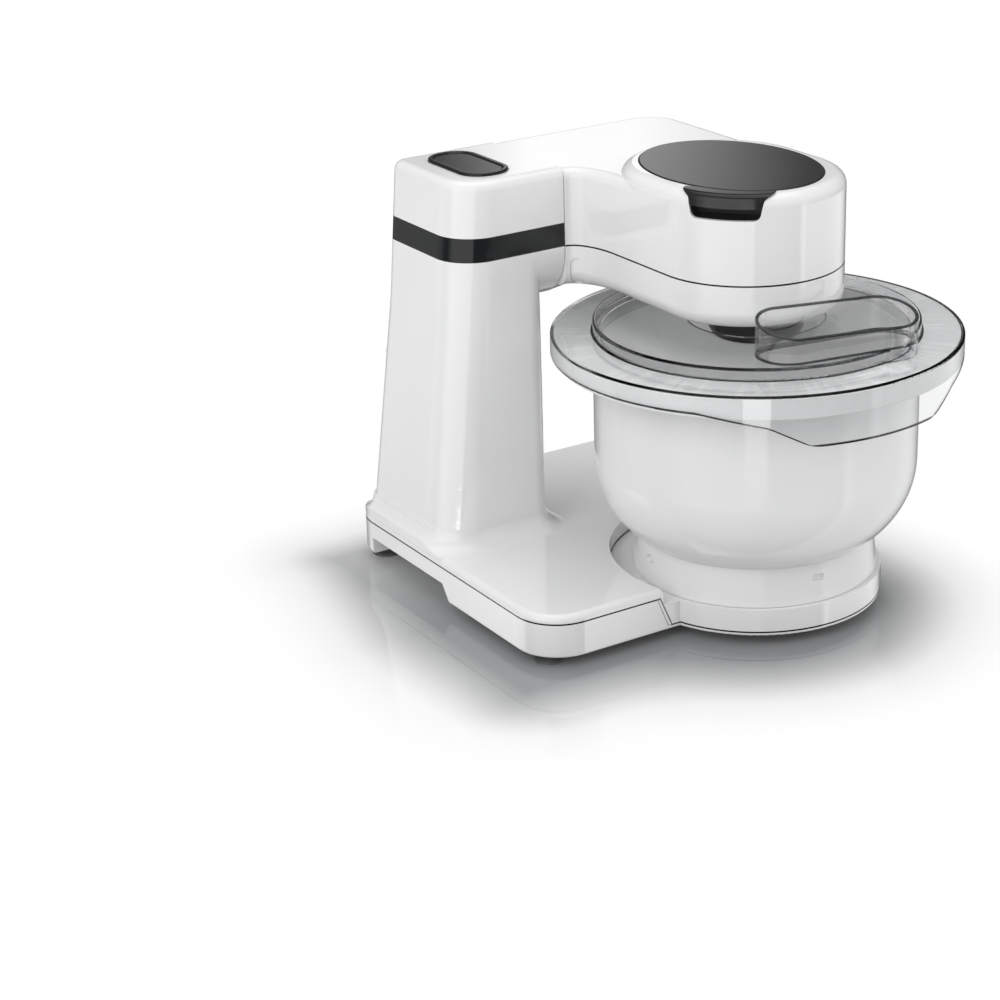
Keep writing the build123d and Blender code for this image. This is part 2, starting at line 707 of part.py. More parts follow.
with BuildPart() as suction_feet:
    for x, y in FEET:
        turned(
            [
                (0, 0),
                (FOOT_R, 0),
                (FOOT_R - 0.6, 1.4),
                (FOOT_NECK_R + 0.8, FOOT_DISC_H - 1.2),
                (FOOT_NECK_R, FOOT_DISC_H),
                (FOOT_NECK_R, TRAY_BOTTOM + WALL / 2),
                (0, TRAY_BOTTOM + WALL / 2),
            ],
            x,
            y,
        )
suction_feet.part.label = "suction_feet"
export_step(suction_feet.part, "parts/suction_feet.step")

with BuildPart() as housing_screws:
    for x, y in BASE_SCREWS:
        screw(x, y, TRAY_BOTTOM + WALL / 3, PLATE_TOP - 2 * WALL)
housing_screws.part.label = "housing_screws"
export_step(housing_screws.part, "parts/housing_screws.step")

# Ring with tabs that the bowl's foot turns under
with BuildPart() as bowl_socket:
    turned(
        [
            (SOCKET_RING_R - SOCKET_RING_WALL, DISC_TOP),
            (SOCKET_RING_R, DISC_TOP),
            (SOCKET_RING_R, SOCKET_TOP),
            (SOCKET_RING_R - SOCKET_RING_WALL, SOCKET_TOP),
        ]
    )
    for count in range(LUG_COUNT):
        start = LUG_AZIMUTH + count * 360 / LUG_COUNT - TAB_ARC / 2
        with BuildSketch(facing_out(start - 90)):
            with Locations((SOCKET_RING_R - 1, SOCKET_TOP - TAB_T)):
                Rectangle(TAB_R - SOCKET_RING_R + 1, TAB_T, align=(Align.MIN, Align.MIN))
        revolve(axis=BOWL_AXIS, revolution_arc=TAB_ARC)
bowl_socket.part.label = "bowl_socket"
export_step(bowl_socket.part, "parts/bowl_socket.step")

# Bush of the arm's pivot in the column's side
with BuildPart() as hinge_bush:
    with BuildSketch(across_x(COLUMN_JOINT_X)):
        with Locations((PIVOT_Y, PIVOT_Z)):
            Circle(JOURNAL_R + RUN + BUSH_WALL)
            Circle(JOURNAL_R + RUN, mode=Mode.SUBTRACT)
    extrude(amount=-BUSH_LENGTH)
    with BuildSketch(across_x(COLUMN_JOINT_X - JOINT_WALL)):
        with Locations((PIVOT_Y, PIVOT_Z)):
            Circle(JOURNAL_R + RUN + 2 * BUSH_WALL)
            Circle(JOURNAL_R + RUN, mode=Mode.SUBTRACT)
    extrude(amount=-BUSH_WALL)
hinge_bush.part.label = "hinge_bush"
export_step(hinge_bush.part, "parts/hinge_bush.step")

# Shelf across the column that guides the release button's stem
with BuildPart() as latch_bracket:
    add(column_cavity.part)
    with BuildSketch(level(BRACKET_Z)):
        with Locations((BUTTON_X, BUTTON_Y)):
            Rectangle(2 * PLATE_BACK, PLATE_CORNER)
    extrude(amount=BRACKET_T, mode=Mode.INTERSECT)
    drum(BUTTON_X, BUTTON_Y, STEM_R + FIT + BUTTON_WALL, BRACKET_Z, BRACKET_Z + GUIDE_H)
    drum(BUTTON_X, BUTTON_Y, STEM_R + FIT, BRACKET_Z, BRACKET_Z + GUIDE_H, mode=Mode.SUBTRACT)
latch_bracket.part.label = "latch_bracket"
export_step(latch_bracket.part, "parts/latch_bracket.step")

# Release button: a dished cap with a skirt, and the stem that works the latch
BUTTON_TOP = COLUMN_TOP + BUTTON_PROUD
with BuildPart() as release_button:
    with BuildSketch(level(BUTTON_TOP - BUTTON_SKIRT)):
        with Locations((BUTTON_X, BUTTON_Y)):
            RectangleRounded(*BUTTON_SIZE, BUTTON_CORNER)
    extrude(amount=BUTTON_SKIRT)
    fillet(release_button.faces().sort_by(Axis.Z)[-1].edges(), BUTTON_WALL / 2)
    with BuildSketch(level(BUTTON_TOP)):
        with Locations((BUTTON_X, BUTTON_Y)):
            RectangleRounded(
                BUTTON_SIZE[0] - 3 * BUTTON_WALL, BUTTON_SIZE[1] - 3 * BUTTON_WALL, BUTTON_CORNER - 2 * BUTTON_WALL
            )
    extrude(amount=-BUTTON_DISH, taper=65, mode=Mode.SUBTRACT)
    with BuildSketch(level(BUTTON_TOP - BUTTON_SKIRT)):
        with Locations((BUTTON_X, BUTTON_Y)):
            RectangleRounded(
                BUTTON_SIZE[0] - 2 * BUTTON_WALL, BUTTON_SIZE[1] - 2 * BUTTON_WALL, BUTTON_CORNER - BUTTON_WALL
            )
    extrude(amount=BUTTON_SKIRT - BUTTON_DISH - BUTTON_WALL, mode=Mode.SUBTRACT)
    drum(BUTTON_X, BUTTON_Y, STEM_R, STEM_LOW, BUTTON_TOP - BUTTON_DISH - BUTTON_WALL)
release_button.part.label = "release_button"
export_step(release_button.part, "parts/release_button.step")

# Return spring between the guide's shelf and the button
SPRING_LOW = BRACKET_Z + BRACKET_T + SPRING_WIRE
SPRING_HIGH = BUTTON_TOP - BUTTON_DISH - BUTTON_WALL - FIT - SPRING_WIRE
with BuildPart() as button_spring:
    with BuildLine(Plane((BOWL_X + BUTTON_X, BOWL_Y + BUTTON_Y, SPRING_LOW))) as coil:
        Helix((SPRING_HIGH - SPRING_LOW) / SPRING_TURNS, SPRING_HIGH - SPRING_LOW, SPRING_R)
    with BuildSketch(Plane(coil.line @ 0, z_dir=coil.line % 0)):
        Circle(SPRING_WIRE)
    sweep(path=coil.line, is_frenet=True)
button_spring.part.label = "button_spring"
export_step(button_spring.part, "parts/button_spring.step")

# Speed dial on the back, with a pointer ridge, and the switch that it turns
with BuildPart() as speed_dial:
    with BuildSketch(across_y(DIAL_SEAT_Y + FIT)):
        with Locations((DIAL_X, DIAL_Z)):
            Circle(DIAL_R)
    extrude(amount=-DIAL_H)
    fillet(speed_dial.faces().sort_by(Axis.Y)[-1].edges(), 2.0)
    with BuildSketch(across_y(DIAL_SEAT_Y + FIT + DIAL_H)):
        with Locations((DIAL_X, DIAL_Z)):
            SlotOverall(1.5 * DIAL_R, DIAL_R / 2.5, rotation=90)
    extrude(amount=-DIAL_H / 4)
    fillet(speed_dial.faces().sort_by(Axis.Y)[-1].edges(), 1.0)
    with BuildSketch(across_y(DIAL_SEAT_Y + FIT)):
        with Locations((DIAL_X, DIAL_Z)):
            Circle(DIAL_SHAFT_R)
    extrude(amount=DIAL_SEAT_Y - STUB_BACK + WALL + SWITCH_SIZE[1] / 2)
speed_dial.part.label = "speed_dial"
export_step(speed_dial.part, "parts/speed_dial.step")

SWITCH_Y = STUB_BACK - WALL
with BuildPart() as speed_switch:
    with BuildSketch(across_y(SWITCH_Y)):
        with Locations((DIAL_X, DIAL_Z)):
            Rectangle(SWITCH_SIZE[0], SWITCH_SIZE[2])
    extrude(amount=SWITCH_SIZE[1])
    with BuildSketch(across_y(SWITCH_Y)):
        with Locations((DIAL_X, DIAL_Z)):
            Circle(DIAL_SHAFT_R + FIT)
    extrude(amount=SWITCH_SIZE[1] / 2 + FIT, mode=Mode.SUBTRACT)
speed_switch.part.label = "speed_switch"
export_step(speed_switch.part, "parts/speed_switch.step")

with BuildPart() as control_board:
    with BuildSketch(level(BOARD_Z)):
        with Locations(BOARD_CENTRE):
            Rectangle(*BOARD_SIZE)
    extrude(amount=BOARD_T)
    with BuildSketch(level(BOARD_Z + BOARD_T)):
        with Locations(BOARD_CENTRE):
            with GridLocations(BOARD_SIZE[0] / 3, BOARD_SIZE[1] / 3, 2, 2):
                Rectangle(BOARD_SIZE[0] / 6, BOARD_SIZE[1] / 5)
    extrude(amount=5 * BOARD_T)
control_board.part.label = "control_board"
export_step(control_board.part, "parts/control_board.step")

# Gland in the back wall, with the passage for the lead
with BuildPart() as cord_gland:
    with BuildSketch(across_y(PLATE_BACK)):
        with Locations((GLAND_X, GLAND_Z)):
            Circle(GLAND_R)
    extrude(amount=WALL)
    with BuildSketch(across_y(PLATE_BACK - WALL)):
        with Locations((GLAND_X, GLAND_Z)):
            Circle(GLAND_R + GLAND_FLANGE)
    extrude(amount=GLAND_FLANGE)
    with BuildSketch(across_y(PLATE_BACK)):
        with Locations((GLAND_X, GLAND_Z)):
            Circle(GLAND_BORE_R)
    extrude(amount=WALL + GLAND_FLANGE, mode=Mode.SUBTRACT)
cord_gland.part.label = "cord_gland"
export_step(cord_gland.part, "parts/cord_gland.step")

# The bowl and its lid

# Point of the bowl's round turn, of the given radius about the turn's centre, at a distance from the axis
def turn_z(distance, radius):
    centre_r = BOWL_R - BOWL_TURN_R
    return BOWL_TURN_Z - math.sqrt(radius**2 - (distance - centre_r) ** 2)


def turn_r(z, radius):
    centre_r = BOWL_R - BOWL_TURN_R
    return centre_r + math.sqrt(radius**2 - (BOWL_TURN_Z - z) ** 2)


RIM_R = BOWL_R + RIM_REACH
INNER_R = BOWL_R - BOWL_WALL
INNER_TURN_R = BOWL_TURN_R - BOWL_WALL
FOOT_INNER_R = BOWL_FOOT_TOP_R - BOWL_WALL
with BuildPart() as bowl:
    with BuildSketch(across_y(0)):
        with BuildLine():
            foot_z = turn_z(BOWL_FOOT_TOP_R, BOWL_TURN_R)
            floor_r = turn_r(BOWL_FLOOR_Z, INNER_TURN_R)
            inner_middle = (floor_r + INNER_R) / 2 + BOWL_WALL
            outer_middle = (BOWL_FOOT_TOP_R + BOWL_R) / 2 + BOWL_WALL
            Polyline(
                (0, BOWL_FLOOR_Z - BOWL_WALL),
                (FOOT_INNER_R, BOWL_FLOOR_Z - BOWL_WALL),
                (FOOT_INNER_R, BOWL_BOTTOM),
                (BOWL_FOOT_R, BOWL_BOTTOM),
                (BOWL_FOOT_TOP_R, foot_z),
            )
            ThreePointArc(
                (BOWL_FOOT_TOP_R, foot_z),
                (outer_middle, turn_z(outer_middle, BOWL_TURN_R)),
                (BOWL_R, BOWL_TURN_Z),
            )
            Polyline(
                (BOWL_R, BOWL_TURN_Z),
                (BOWL_R, BOWL_RIM_Z - COLLAR_WALL),
                (RIM_R - COLLAR_WALL, BOWL_RIM_Z - COLLAR_WALL),
                (RIM_R - COLLAR_WALL, BOWL_RIM_Z - COLLAR_DROP),
                (RIM_R, BOWL_RIM_Z - COLLAR_DROP),
                (RIM_R, BOWL_RIM_Z),
                (INNER_R, BOWL_RIM_Z),
                (INNER_R, BOWL_TURN_Z),
            )
            ThreePointArc(
                (INNER_R, BOWL_TURN_Z),
                (inner_middle, turn_z(inner_middle, INNER_TURN_R)),
                (floor_r, BOWL_FLOOR_Z),
            )
            Line((floor_r, BOWL_FLOOR_Z), (0, BOWL_FLOOR_Z))
            Line((0, BOWL_FLOOR_Z), (0, BOWL_FLOOR_Z - BOWL_WALL))
        make_face()
    revolve(axis=BOWL_AXIS)
    rim_edges = bowl.edges().filter_by(GeomType.CIRCLE).filter_by(lambda e: e.radius > RIM_R - 0.01)
    fillet(rim_edges, COLLAR_WALL / 3)
    # Small slots in the foot, and the lugs that turn under the socket's tabs
    for count in range(LUG_COUNT):
        with BuildSketch(facing_out(LUG_AZIMUTH + count * 360 / LUG_COUNT).offset(FOOT_SLOT_IN_R)):
            with Locations((0, FOOT_SLOT_Z)):
                SlotOverall(*FOOT_SLOT)
        extrude(amount=BOWL_FOOT_R - FOOT_SLOT_IN_R, mode=Mode.SUBTRACT)
    lug_top = SOCKET_TOP - TAB_T - FIT
    for count in range(LUG_COUNT):
        start = LUG_AZIMUTH + count * 360 / LUG_COUNT - LUG_ARC / 2
        with BuildSketch(facing_out(start - 90)):
            with Locations((SOCKET_RING_R + FIT, BOWL_BOTTOM)):
                Rectangle(
                    FOOT_INNER_R - SOCKET_RING_R, lug_top - BOWL_BOTTOM, align=(Align.MIN, Align.MIN)
                )
        revolve(axis=BOWL_AXIS, revolution_arc=LUG_ARC)
bowl.part.label = "bowl"
export_step(bowl.part, "parts/bowl.step")

# Deeper lip at the lid's front
LIP_TOP = LID_TOP - LID_SKIRT
LIP_LOW = LIP_TOP - LIP_DROP
LIP_END = 1.15 * LIP_REACH
with BuildPart() as lip:
    turned([(LID_SKIRT_R, LIP_LOW), (LID_R, LIP_LOW), (LID_R, LIP_TOP + LID_T), (LID_SKIRT_R, LIP_TOP + LID_T)])
    with BuildSketch(facing_out(LIP_AZIMUTH)):
        with BuildLine():
            FilletPolyline(
                (-LIP_END, LIP_TOP),
                (-LIP_REACH, LIP_TOP),
                (-LIP_SHOULDER, LIP_TOP - LIP_SHOULDER_DROP),
                (-LIP_LOW_HALF, LIP_LOW),
                (LIP_LOW_HALF, LIP_LOW),
                (LIP_SHOULDER, LIP_TOP - LIP_SHOULDER_DROP),
                (LIP_REACH, LIP_TOP),
                (LIP_END, LIP_TOP),
                radius=LIP_CORNER,
            )
            Polyline((LIP_END, LIP_TOP), (LIP_END, LID_TOP), (-LIP_END, LID_TOP), (-LIP_END, LIP_TOP))
        make_face()
    extrude(amount=LID_R, mode=Mode.INTERSECT)

# Wall of the filling chute, with a rim that slopes down to the outside
with BuildPart() as chute_wall:
    with BuildSketch(level(LID_TOP - LID_T / 2)):
        with Locations(CHUTE_CENTRE):
            SlotOverall(CHUTE_LENGTH, CHUTE_WIDTH, rotation=CHUTE_TURN)
            SlotOverall(
                CHUTE_LENGTH - 2 * CHUTE_WALL,
                CHUTE_WIDTH - 2 * CHUTE_WALL,
                rotation=CHUTE_TURN,
                mode=Mode.SUBTRACT,
            )
    extrude(amount=CHUTE_FAR_Z - LID_TOP + LID_SKIRT)
    rim_plane = Plane(
        origin=(BOWL_X + CHUTE_CENTRE[0], BOWL_Y + CHUTE_CENTRE[1], (CHUTE_NEAR_Z + CHUTE_FAR_Z) / 2),
        x_dir=(1, 0, 0),
        z_dir=(0, CHUTE_NEAR_Z - CHUTE_FAR_Z, CHUTE_WIDTH),
    )
    split(bisect_by=rim_plane, keep=Keep.BOTTOM)
    rim_face = chute_wall.faces().filter_by(lambda f: abs(f.normal_at().dot(rim_plane.z_dir)) > 0.999)
    fillet(rim_face.edges(), LID_SOFT)
    drum(0, 0, PLATEAU_R - LID_T / 2, LID_UNDER, PLATEAU_TOP - LID_T / 2, mode=Mode.SUBTRACT)

with BuildPart() as lid:
    with BuildSketch(across_y(0)):
        with BuildLine():
            FilletPolyline(
                (LID_HOLE_R, PLATEAU_TOP - LID_T),
                (PLATEAU_R - LID_T, PLATEAU_TOP - LID_T),
                (PLATEAU_R - LID_T, LID_TOP),
                (INNER_R - FIT - LID_T, LID_TOP),
                (INNER_R - FIT - LID_T, LID_UNDER - LID_RIB_DROP),
                (INNER_R - FIT, LID_UNDER - LID_RIB_DROP),
                (INNER_R - FIT, LID_UNDER),
                (LID_SKIRT_R, LID_UNDER),
                (LID_SKIRT_R, LIP_TOP),
                (LID_R, LIP_TOP),
                (LID_R, LID_TOP),
                (PLATEAU_R, LID_TOP),
                (PLATEAU_R, PLATEAU_TOP),
                (LID_HOLE_R, PLATEAU_TOP),
                radius=[LID_SOFT] * 10 + [LID_ROUND] * 3 + [LID_SOFT],
                close=True,
            )
        make_face()
    revolve(axis=BOWL_AXIS)
    add(lip.part)
    with BuildSketch(level(LID_TOP)):
        with Locations(CHUTE_CENTRE):
            SlotOverall(CHUTE_LENGTH - 2 * CHUTE_WALL, CHUTE_WIDTH - 2 * CHUTE_WALL, rotation=CHUTE_TURN)
    extrude(amount=PLATEAU_RISE * 2, mode=Mode.SUBTRACT)
    add(chute_wall.part)
lid.part.label = "lid"
export_step(lid.part, "parts/lid.step")

# The arm

# Room inside the lower shell
with BuildPart() as lower_room:
    extrude(arm_sketch(ARM_FLOOR, WALL), amount=ARM_SEAM_Z - ARM_FLOOR)
    room_edges = lower_room.faces().sort_by(Axis.Z)[0].edges()
    fillet(room_edges.sort_by(Axis.X)[1:], ARM_BOTTOM_R - WALL)
    split(bisect_by=across_x(ARM_JOINT_X + JOINT_WALL), keep=Keep.TOP)

# Upright mark beside the joint, as deep all over as the arm's form shrunk by that depth leaves it
with BuildPart() as arm_core:
    extrude(arm_sketch(ARM_BOTTOM + MARK_DEPTH, MARK_DEPTH), amount=ARM_SEAM_Z - ARM_BOTTOM)
    core_edges = arm_core.faces().sort_by(Axis.Z)[0].edges()
    fillet(core_edges.sort_by(Axis.X)[1:], ARM_BOTTOM_R - MARK_DEPTH)

with BuildPart() as joint_mark:
    mark_plane = facing_out(MARK_AZIMUTH)
    mark_plane.origin = (BOWL_X + MARK_X, BOWL_Y + MARK_Y, ARM_BOTTOM + MARK_RISE)
    with BuildSketch(mark_plane):
        SlotOverall(*MARK_SIZE, rotation=90)
    extrude(amount=MARK_SIZE[0] / 3, both=True)
    add(arm_core.part, mode=Mode.SUBTRACT)

# Lower shell with a round underside, and the keel that runs down to the joint
LOWER_TOP = ARM_SEAM_Z - SEAM / 2
UPPER_LOW = ARM_SEAM_Z + SEAM / 2
with BuildPart() as arm_lower_shell:
    extrude(arm_sketch(ARM_BOTTOM), amount=LOWER_TOP - ARM_BOTTOM)
    bottom_edges = arm_lower_shell.faces().sort_by(Axis.Z)[0].edges()
    fillet(bottom_edges.sort_by(Axis.X)[1:], ARM_BOTTOM_R)
    keel_z = STUB_BOTTOM + KEEL_RISE
    keel_corner = STUB_FRONT_CORNER - KEEL_RISE
    loft(
        [
            stub_sketch(ARM_JOINT_X, STUB_BOTTOM, LOWER_TOP, STUB_FRONT_CORNER, STUB_BACK_CORNER),
            stub_sketch(KEEL_END, keel_z, LOWER_TOP, keel_corner, STUB_BACK_CORNER),
        ]
    )
    add(lower_room.part, mode=Mode.SUBTRACT)
    for x, y in ARM_SCREWS:
        drum(x, y, BOSS_R, ARM_FLOOR, UPPER_LOW)
    for x, y in ARM_SCREWS:
        drum(x, y, SCREW_R + RUN, ARM_FLOOR, UPPER_LOW, mode=Mode.SUBTRACT)
    for x, y in ARM_SCREWS:
        drum(x, y, SCREW_HEAD_R, STUB_BOTTOM - WALL, ARM_FLOOR + SCREW_HEAD_H, mode=Mode.SUBTRACT)
    drum(0, 0, CARRIER_R + 2 * FIT, ARM_BOTTOM - WALL, ARM_FLOOR, mode=Mode.SUBTRACT)
    add(joint_mark.part, mode=Mode.SUBTRACT)
    with BuildSketch(across_x(ARM_JOINT_X)):
        with Locations((PIVOT_Y, PIVOT_Z)):
            Circle(JOURNAL_R)
    extrude(amount=JOURNAL_OUT, mode=Mode.SUBTRACT)
arm_lower_shell.part.label = "arm_lower_shell"
export_step(arm_lower_shell.part, "parts/arm_lower_shell.step")

# Raised head, and the room inside the upper shell
with BuildPart() as head:
    extrude(head_sketch(UPPER_LOW), amount=HEAD_TOP - UPPER_LOW)
    fillet(head.faces().sort_by(Axis.Z)[-1].edges(), HEAD_EDGE_R)

with BuildPart() as upper_room:
    extrude(arm_sketch(UPPER_LOW, WALL), amount=ARM_CEILING - UPPER_LOW)
    split(bisect_by=across_x(ARM_JOINT_X + JOINT_WALL), keep=Keep.TOP)

# Upper shell: the arm, and the head that stands a little higher
with BuildPart() as arm_upper_shell:
    extrude(arm_sketch(UPPER_LOW), amount=ARM_TOP - UPPER_LOW)
    arm_edges = arm_upper_shell.faces().sort_by(Axis.Z)[-1].edges()
    fillet(arm_edges.sort_by(Axis.X)[1:], TOP_EDGE_R)
    add(head.part)
    add(upper_room.part, mode=Mode.SUBTRACT)
    # Seat of the drive cover, the opening under it and the finger notch
    extrude(cover_sketch(WELL_TOP, -FIT), amount=COVER_T + FIT, mode=Mode.SUBTRACT)
    extrude(cover_sketch(ARM_CEILING - WALL, COVER_SEAT), amount=HEAD_TOP, mode=Mode.SUBTRACT)
    notch_block(NOTCH_FROM, NOTCH_FLOOR, mode=Mode.SUBTRACT)
    for x, y in ARM_SCREWS:
        drum(x, y, BOSS_R, UPPER_LOW, ARM_CEILING)
    for x, y in ARM_SCREWS:
        drum(x, y, SCREW_R, UPPER_LOW, ARM_SCREW_TOP, mode=Mode.SUBTRACT)
    with BuildSketch(across_x(ARM_JOINT_X)):
        with Locations((PIVOT_Y, PIVOT_Z)):
            Circle(JOURNAL_R)
    extrude(amount=JOURNAL_OUT, mode=Mode.SUBTRACT)
arm_upper_shell.part.label = "arm_upper_shell"
export_step(arm_upper_shell.part, "parts/arm_upper_shell.step")

with BuildPart() as arm_screws:
    for x, y in ARM_SCREWS:
        screw(x, y, ARM_FLOOR + SCREW_HEAD_H, ARM_SCREW_TOP)
arm_screws.part.label = "arm_screws"
export_step(arm_screws.part, "parts/arm_screws.step")

# Hollow journal clamped between the arm's shells, and its retaining ring in the column
with BuildPart() as pivot_journal:
    with BuildSketch(across_x(ARM_JOINT_X + JOURNAL_OUT)):
        with Locations((PIVOT_Y, PIVOT_Z)):
            Circle(JOURNAL_R)
            Circle(JOURNAL_BORE_R, mode=Mode.SUBTRACT)
    extrude(amount=-(JOURNAL_OUT + JOURNAL_IN))
pivot_journal.part.label = "pivot_journal"
export_step(pivot_journal.part, "parts/pivot_journal.step")

RETAINER_X = COLUMN_JOINT_X - BUSH_LENGTH - FIT
with BuildPart() as journal_ring:
    with BuildSketch(across_x(RETAINER_X)):
        with Locations((PIVOT_Y, PIVOT_Z)):
            Circle(JOURNAL_R + BUSH_WALL)
            Circle(JOURNAL_R, mode=Mode.SUBTRACT)
    extrude(amount=-RETAINER_T)
journal_ring.part.label = "journal_ring"
export_step(journal_ring.part, "parts/journal_ring.step")

# Finger pocket behind the notch: a floor, a back and two sides inside the head
with BuildPart() as finger_pocket:
    notch_block(NOTCH_FROM - 2 * WELL_T, NOTCH_FLOOR - WELL_T, inset=-WELL_T)
    extrude(head_sketch(WELL_FLOOR, WALL + FIT), amount=ARM_CEILING - WELL_FLOOR, mode=Mode.INTERSECT)
    notch_block(NOTCH_FROM, NOTCH_FLOOR, mode=Mode.SUBTRACT)

# Black well under the drive cover
with BuildPart() as drive_well:
    extrude(cover_sketch(WELL_FLOOR, COVER_SEAT + FIT), amount=WELL_TOP - WELL_FLOOR)
    add(finger_pocket.part)
    drum(0, 0, BEARING_R + WALL, WELL_FLOOR - BEARING_H + WELL_T, WELL_FLOOR)
    extrude(
        cover_sketch(WELL_FLOOR + WELL_T, COVER_SEAT + FIT + WELL_T),
        amount=WELL_TOP - WELL_FLOOR,
        mode=Mode.SUBTRACT,
    )
    drum(0, 0, BEARING_R, WELL_FLOOR - BEARING_H + WELL_T, WELL_FLOOR + WELL_T, mode=Mode.SUBTRACT)
drive_well.part.label = "drive_well"
export_step(drive_well.part, "parts/drive_well.step")

# Drive cover, and its tongue that reaches out over the notch
with BuildPart() as cover_tongue:
    extrude(head_sketch(TONGUE_LOW, TONGUE_SET_IN), amount=COVER_TOP - FIT - TONGUE_LOW)
    fillet(cover_tongue.faces().sort_by(Axis.Z)[-1].edges(), HEAD_EDGE_R / 2)
    notch_block(NOTCH_FROM + 2 * FIT, TONGUE_LOW - NOTCH_CORNER, inset=FIT, mode=Mode.INTERSECT)

with BuildPart() as drive_cover:
    extrude(cover_sketch(COVER_LOW), amount=COVER_T)
    fillet(drive_cover.faces().sort_by(Axis.Z)[-1].edges(), 0.8)
    add(cover_tongue.part)
drive_cover.part.label = "drive_cover"
export_step(drive_cover.part, "parts/drive_cover.step")

# Gears, from the ring fixed in the arm to the sun on the drive shaft
with BuildPart() as ring_gear:
    drum(0, 0, RING_OUT_R, ARM_FLOOR, RING_TOP)
    gear_solid(gear_outline(RING_TEETH, inner=True), 0, 0, ARM_FLOOR, RING_TOP, mode=Mode.SUBTRACT)
ring_gear.part.label = "ring_gear"
export_step(ring_gear.part, "parts/ring_gear.step")

with BuildPart() as gearbox_plate:
    drum(0, 0, RING_OUT_R, RING_TOP, GEARBOX_TOP)
    drum(0, 0, BEARING_R, RING_TOP, GEARBOX_TOP, mode=Mode.SUBTRACT)
gearbox_plate.part.label = "gearbox_plate"
export_step(gearbox_plate.part, "parts/gearbox_plate.step")

with BuildPart() as shaft_bearings:
    for low in (GEARBOX_TOP - BEARING_H, WELL_FLOOR - BEARING_H + WELL_T):
        drum(0, 0, BEARING_R, low, low + BEARING_H)
    drum(0, 0, SHAFT_R + RUN, GEARBOX_TOP - BEARING_H, WELL_FLOOR + WELL_T, mode=Mode.SUBTRACT)
shaft_bearings.part.label = "shaft_bearings"
export_step(shaft_bearings.part, "parts/shaft_bearings.step")

with BuildPart() as drive_shaft:
    drum(0, 0, SHAFT_R, SHAFT_END, WELL_FLOOR + WELL_T + FIT + COUPLING_H / 2)
    gear_solid(gear_outline(SUN_TEETH), 0, 0, GEAR_LOW, GEAR_LOW + GEAR_FACE)
drive_shaft.part.label = "drive_shaft"
export_step(drive_shaft.part, "parts/drive_shaft.step")

with BuildPart() as belt_pulley:
    drum(0, 0, PULLEY_R, PULLEY_Z, PULLEY_TOP)
    turned(
        [
            (SHAFT_R + 2 * WALL, PULLEY_Z + 2 * WALL),
            (PULLEY_R - WALL, PULLEY_Z + 2 * WALL),
            (PULLEY_R - WALL, PULLEY_TOP),
            (SHAFT_R + 2 * WALL, PULLEY_TOP),
        ],
        mode=Mode.SUBTRACT,
    )
    drum(0, 0, SHAFT_R, PULLEY_Z, PULLEY_TOP, mode=Mode.SUBTRACT)
belt_pulley.part.label = "belt_pulley"
export_step(belt_pulley.part, "parts/belt_pulley.step")

# Coupling that a blender jug's drive drops onto: four driving dogs on a hub
COUPLING_LOW = WELL_FLOOR + WELL_T + FIT
with BuildPart() as blender_coupling:
    drum(0, 0, COUPLING_R, COUPLING_LOW, COUPLING_LOW + COUPLING_H / 2)
    with BuildSketch(level(COUPLING_LOW + COUPLING_H / 2)):
        with PolarLocations(COUPLING_R - 4.0, 4):
            Rectangle(7.0, 5.0)
    extrude(amount=COUPLING_H / 2)
    drum(0, 0, SHAFT_R, COUPLING_LOW, COUPLING_LOW + COUPLING_H / 2, mode=Mode.SUBTRACT)
blender_coupling.part.label = "blender_coupling"
export_step(blender_coupling.part, "parts/blender_coupling.step")

# Carrier that shows below the head, the spindle in it and the planet gear on the spindle
with BuildPart() as planet_carrier:
    turned(
        [
            (0, CARRIER_BOTTOM),
            (CARRIER_TIP_R, CARRIER_BOTTOM),
            (CARRIER_R, CARRIER_BOTTOM + CARRIER_TAPER),
            (CARRIER_R, CARRIER_TOP),
            (0, CARRIER_TOP),
        ]
    )
    drum(0, 0, SHAFT_R + RUN, SHAFT_END - 1, CARRIER_TOP, mode=Mode.SUBTRACT)
    drum(PLANET_OFFSET, 0, SPINDLE_R + RUN, CARRIER_BOTTOM, CARRIER_TOP, mode=Mode.SUBTRACT)
planet_carrier.part.label = "planet_carrier"
export_step(planet_carrier.part, "parts/planet_carrier.step")

SPINDLE_BOTTOM = CARRIER_BOTTOM + 0.5
with BuildPart() as tool_spindle:
    drum(PLANET_OFFSET, 0, SPINDLE_R, SPINDLE_BOTTOM, GEAR_LOW)
    drum(PLANET_OFFSET, 0, SPINDLE_R - 2, GEAR_LOW, GEAR_LOW + GEAR_FACE)
    drum(PLANET_OFFSET, 0, SOCKET_R, SPINDLE_BOTTOM, SPINDLE_BOTTOM + SOCKET_DEPTH, mode=Mode.SUBTRACT)
tool_spindle.part.label = "tool_spindle"
export_step(tool_spindle.part, "parts/tool_spindle.step")

with BuildPart() as planet_gear:
    gear_solid(
        gear_outline(PLANET_TEETH, turn=180 / PLANET_TEETH), PLANET_OFFSET, 0, GEAR_LOW, GEAR_LOW + GEAR_FACE
    )
    drum(PLANET_OFFSET, 0, SPINDLE_R - 2, GEAR_LOW, GEAR_LOW + GEAR_FACE, mode=Mode.SUBTRACT)
planet_gear.part.label = "planet_gear"
export_step(planet_gear.part, "parts/planet_gear.step")

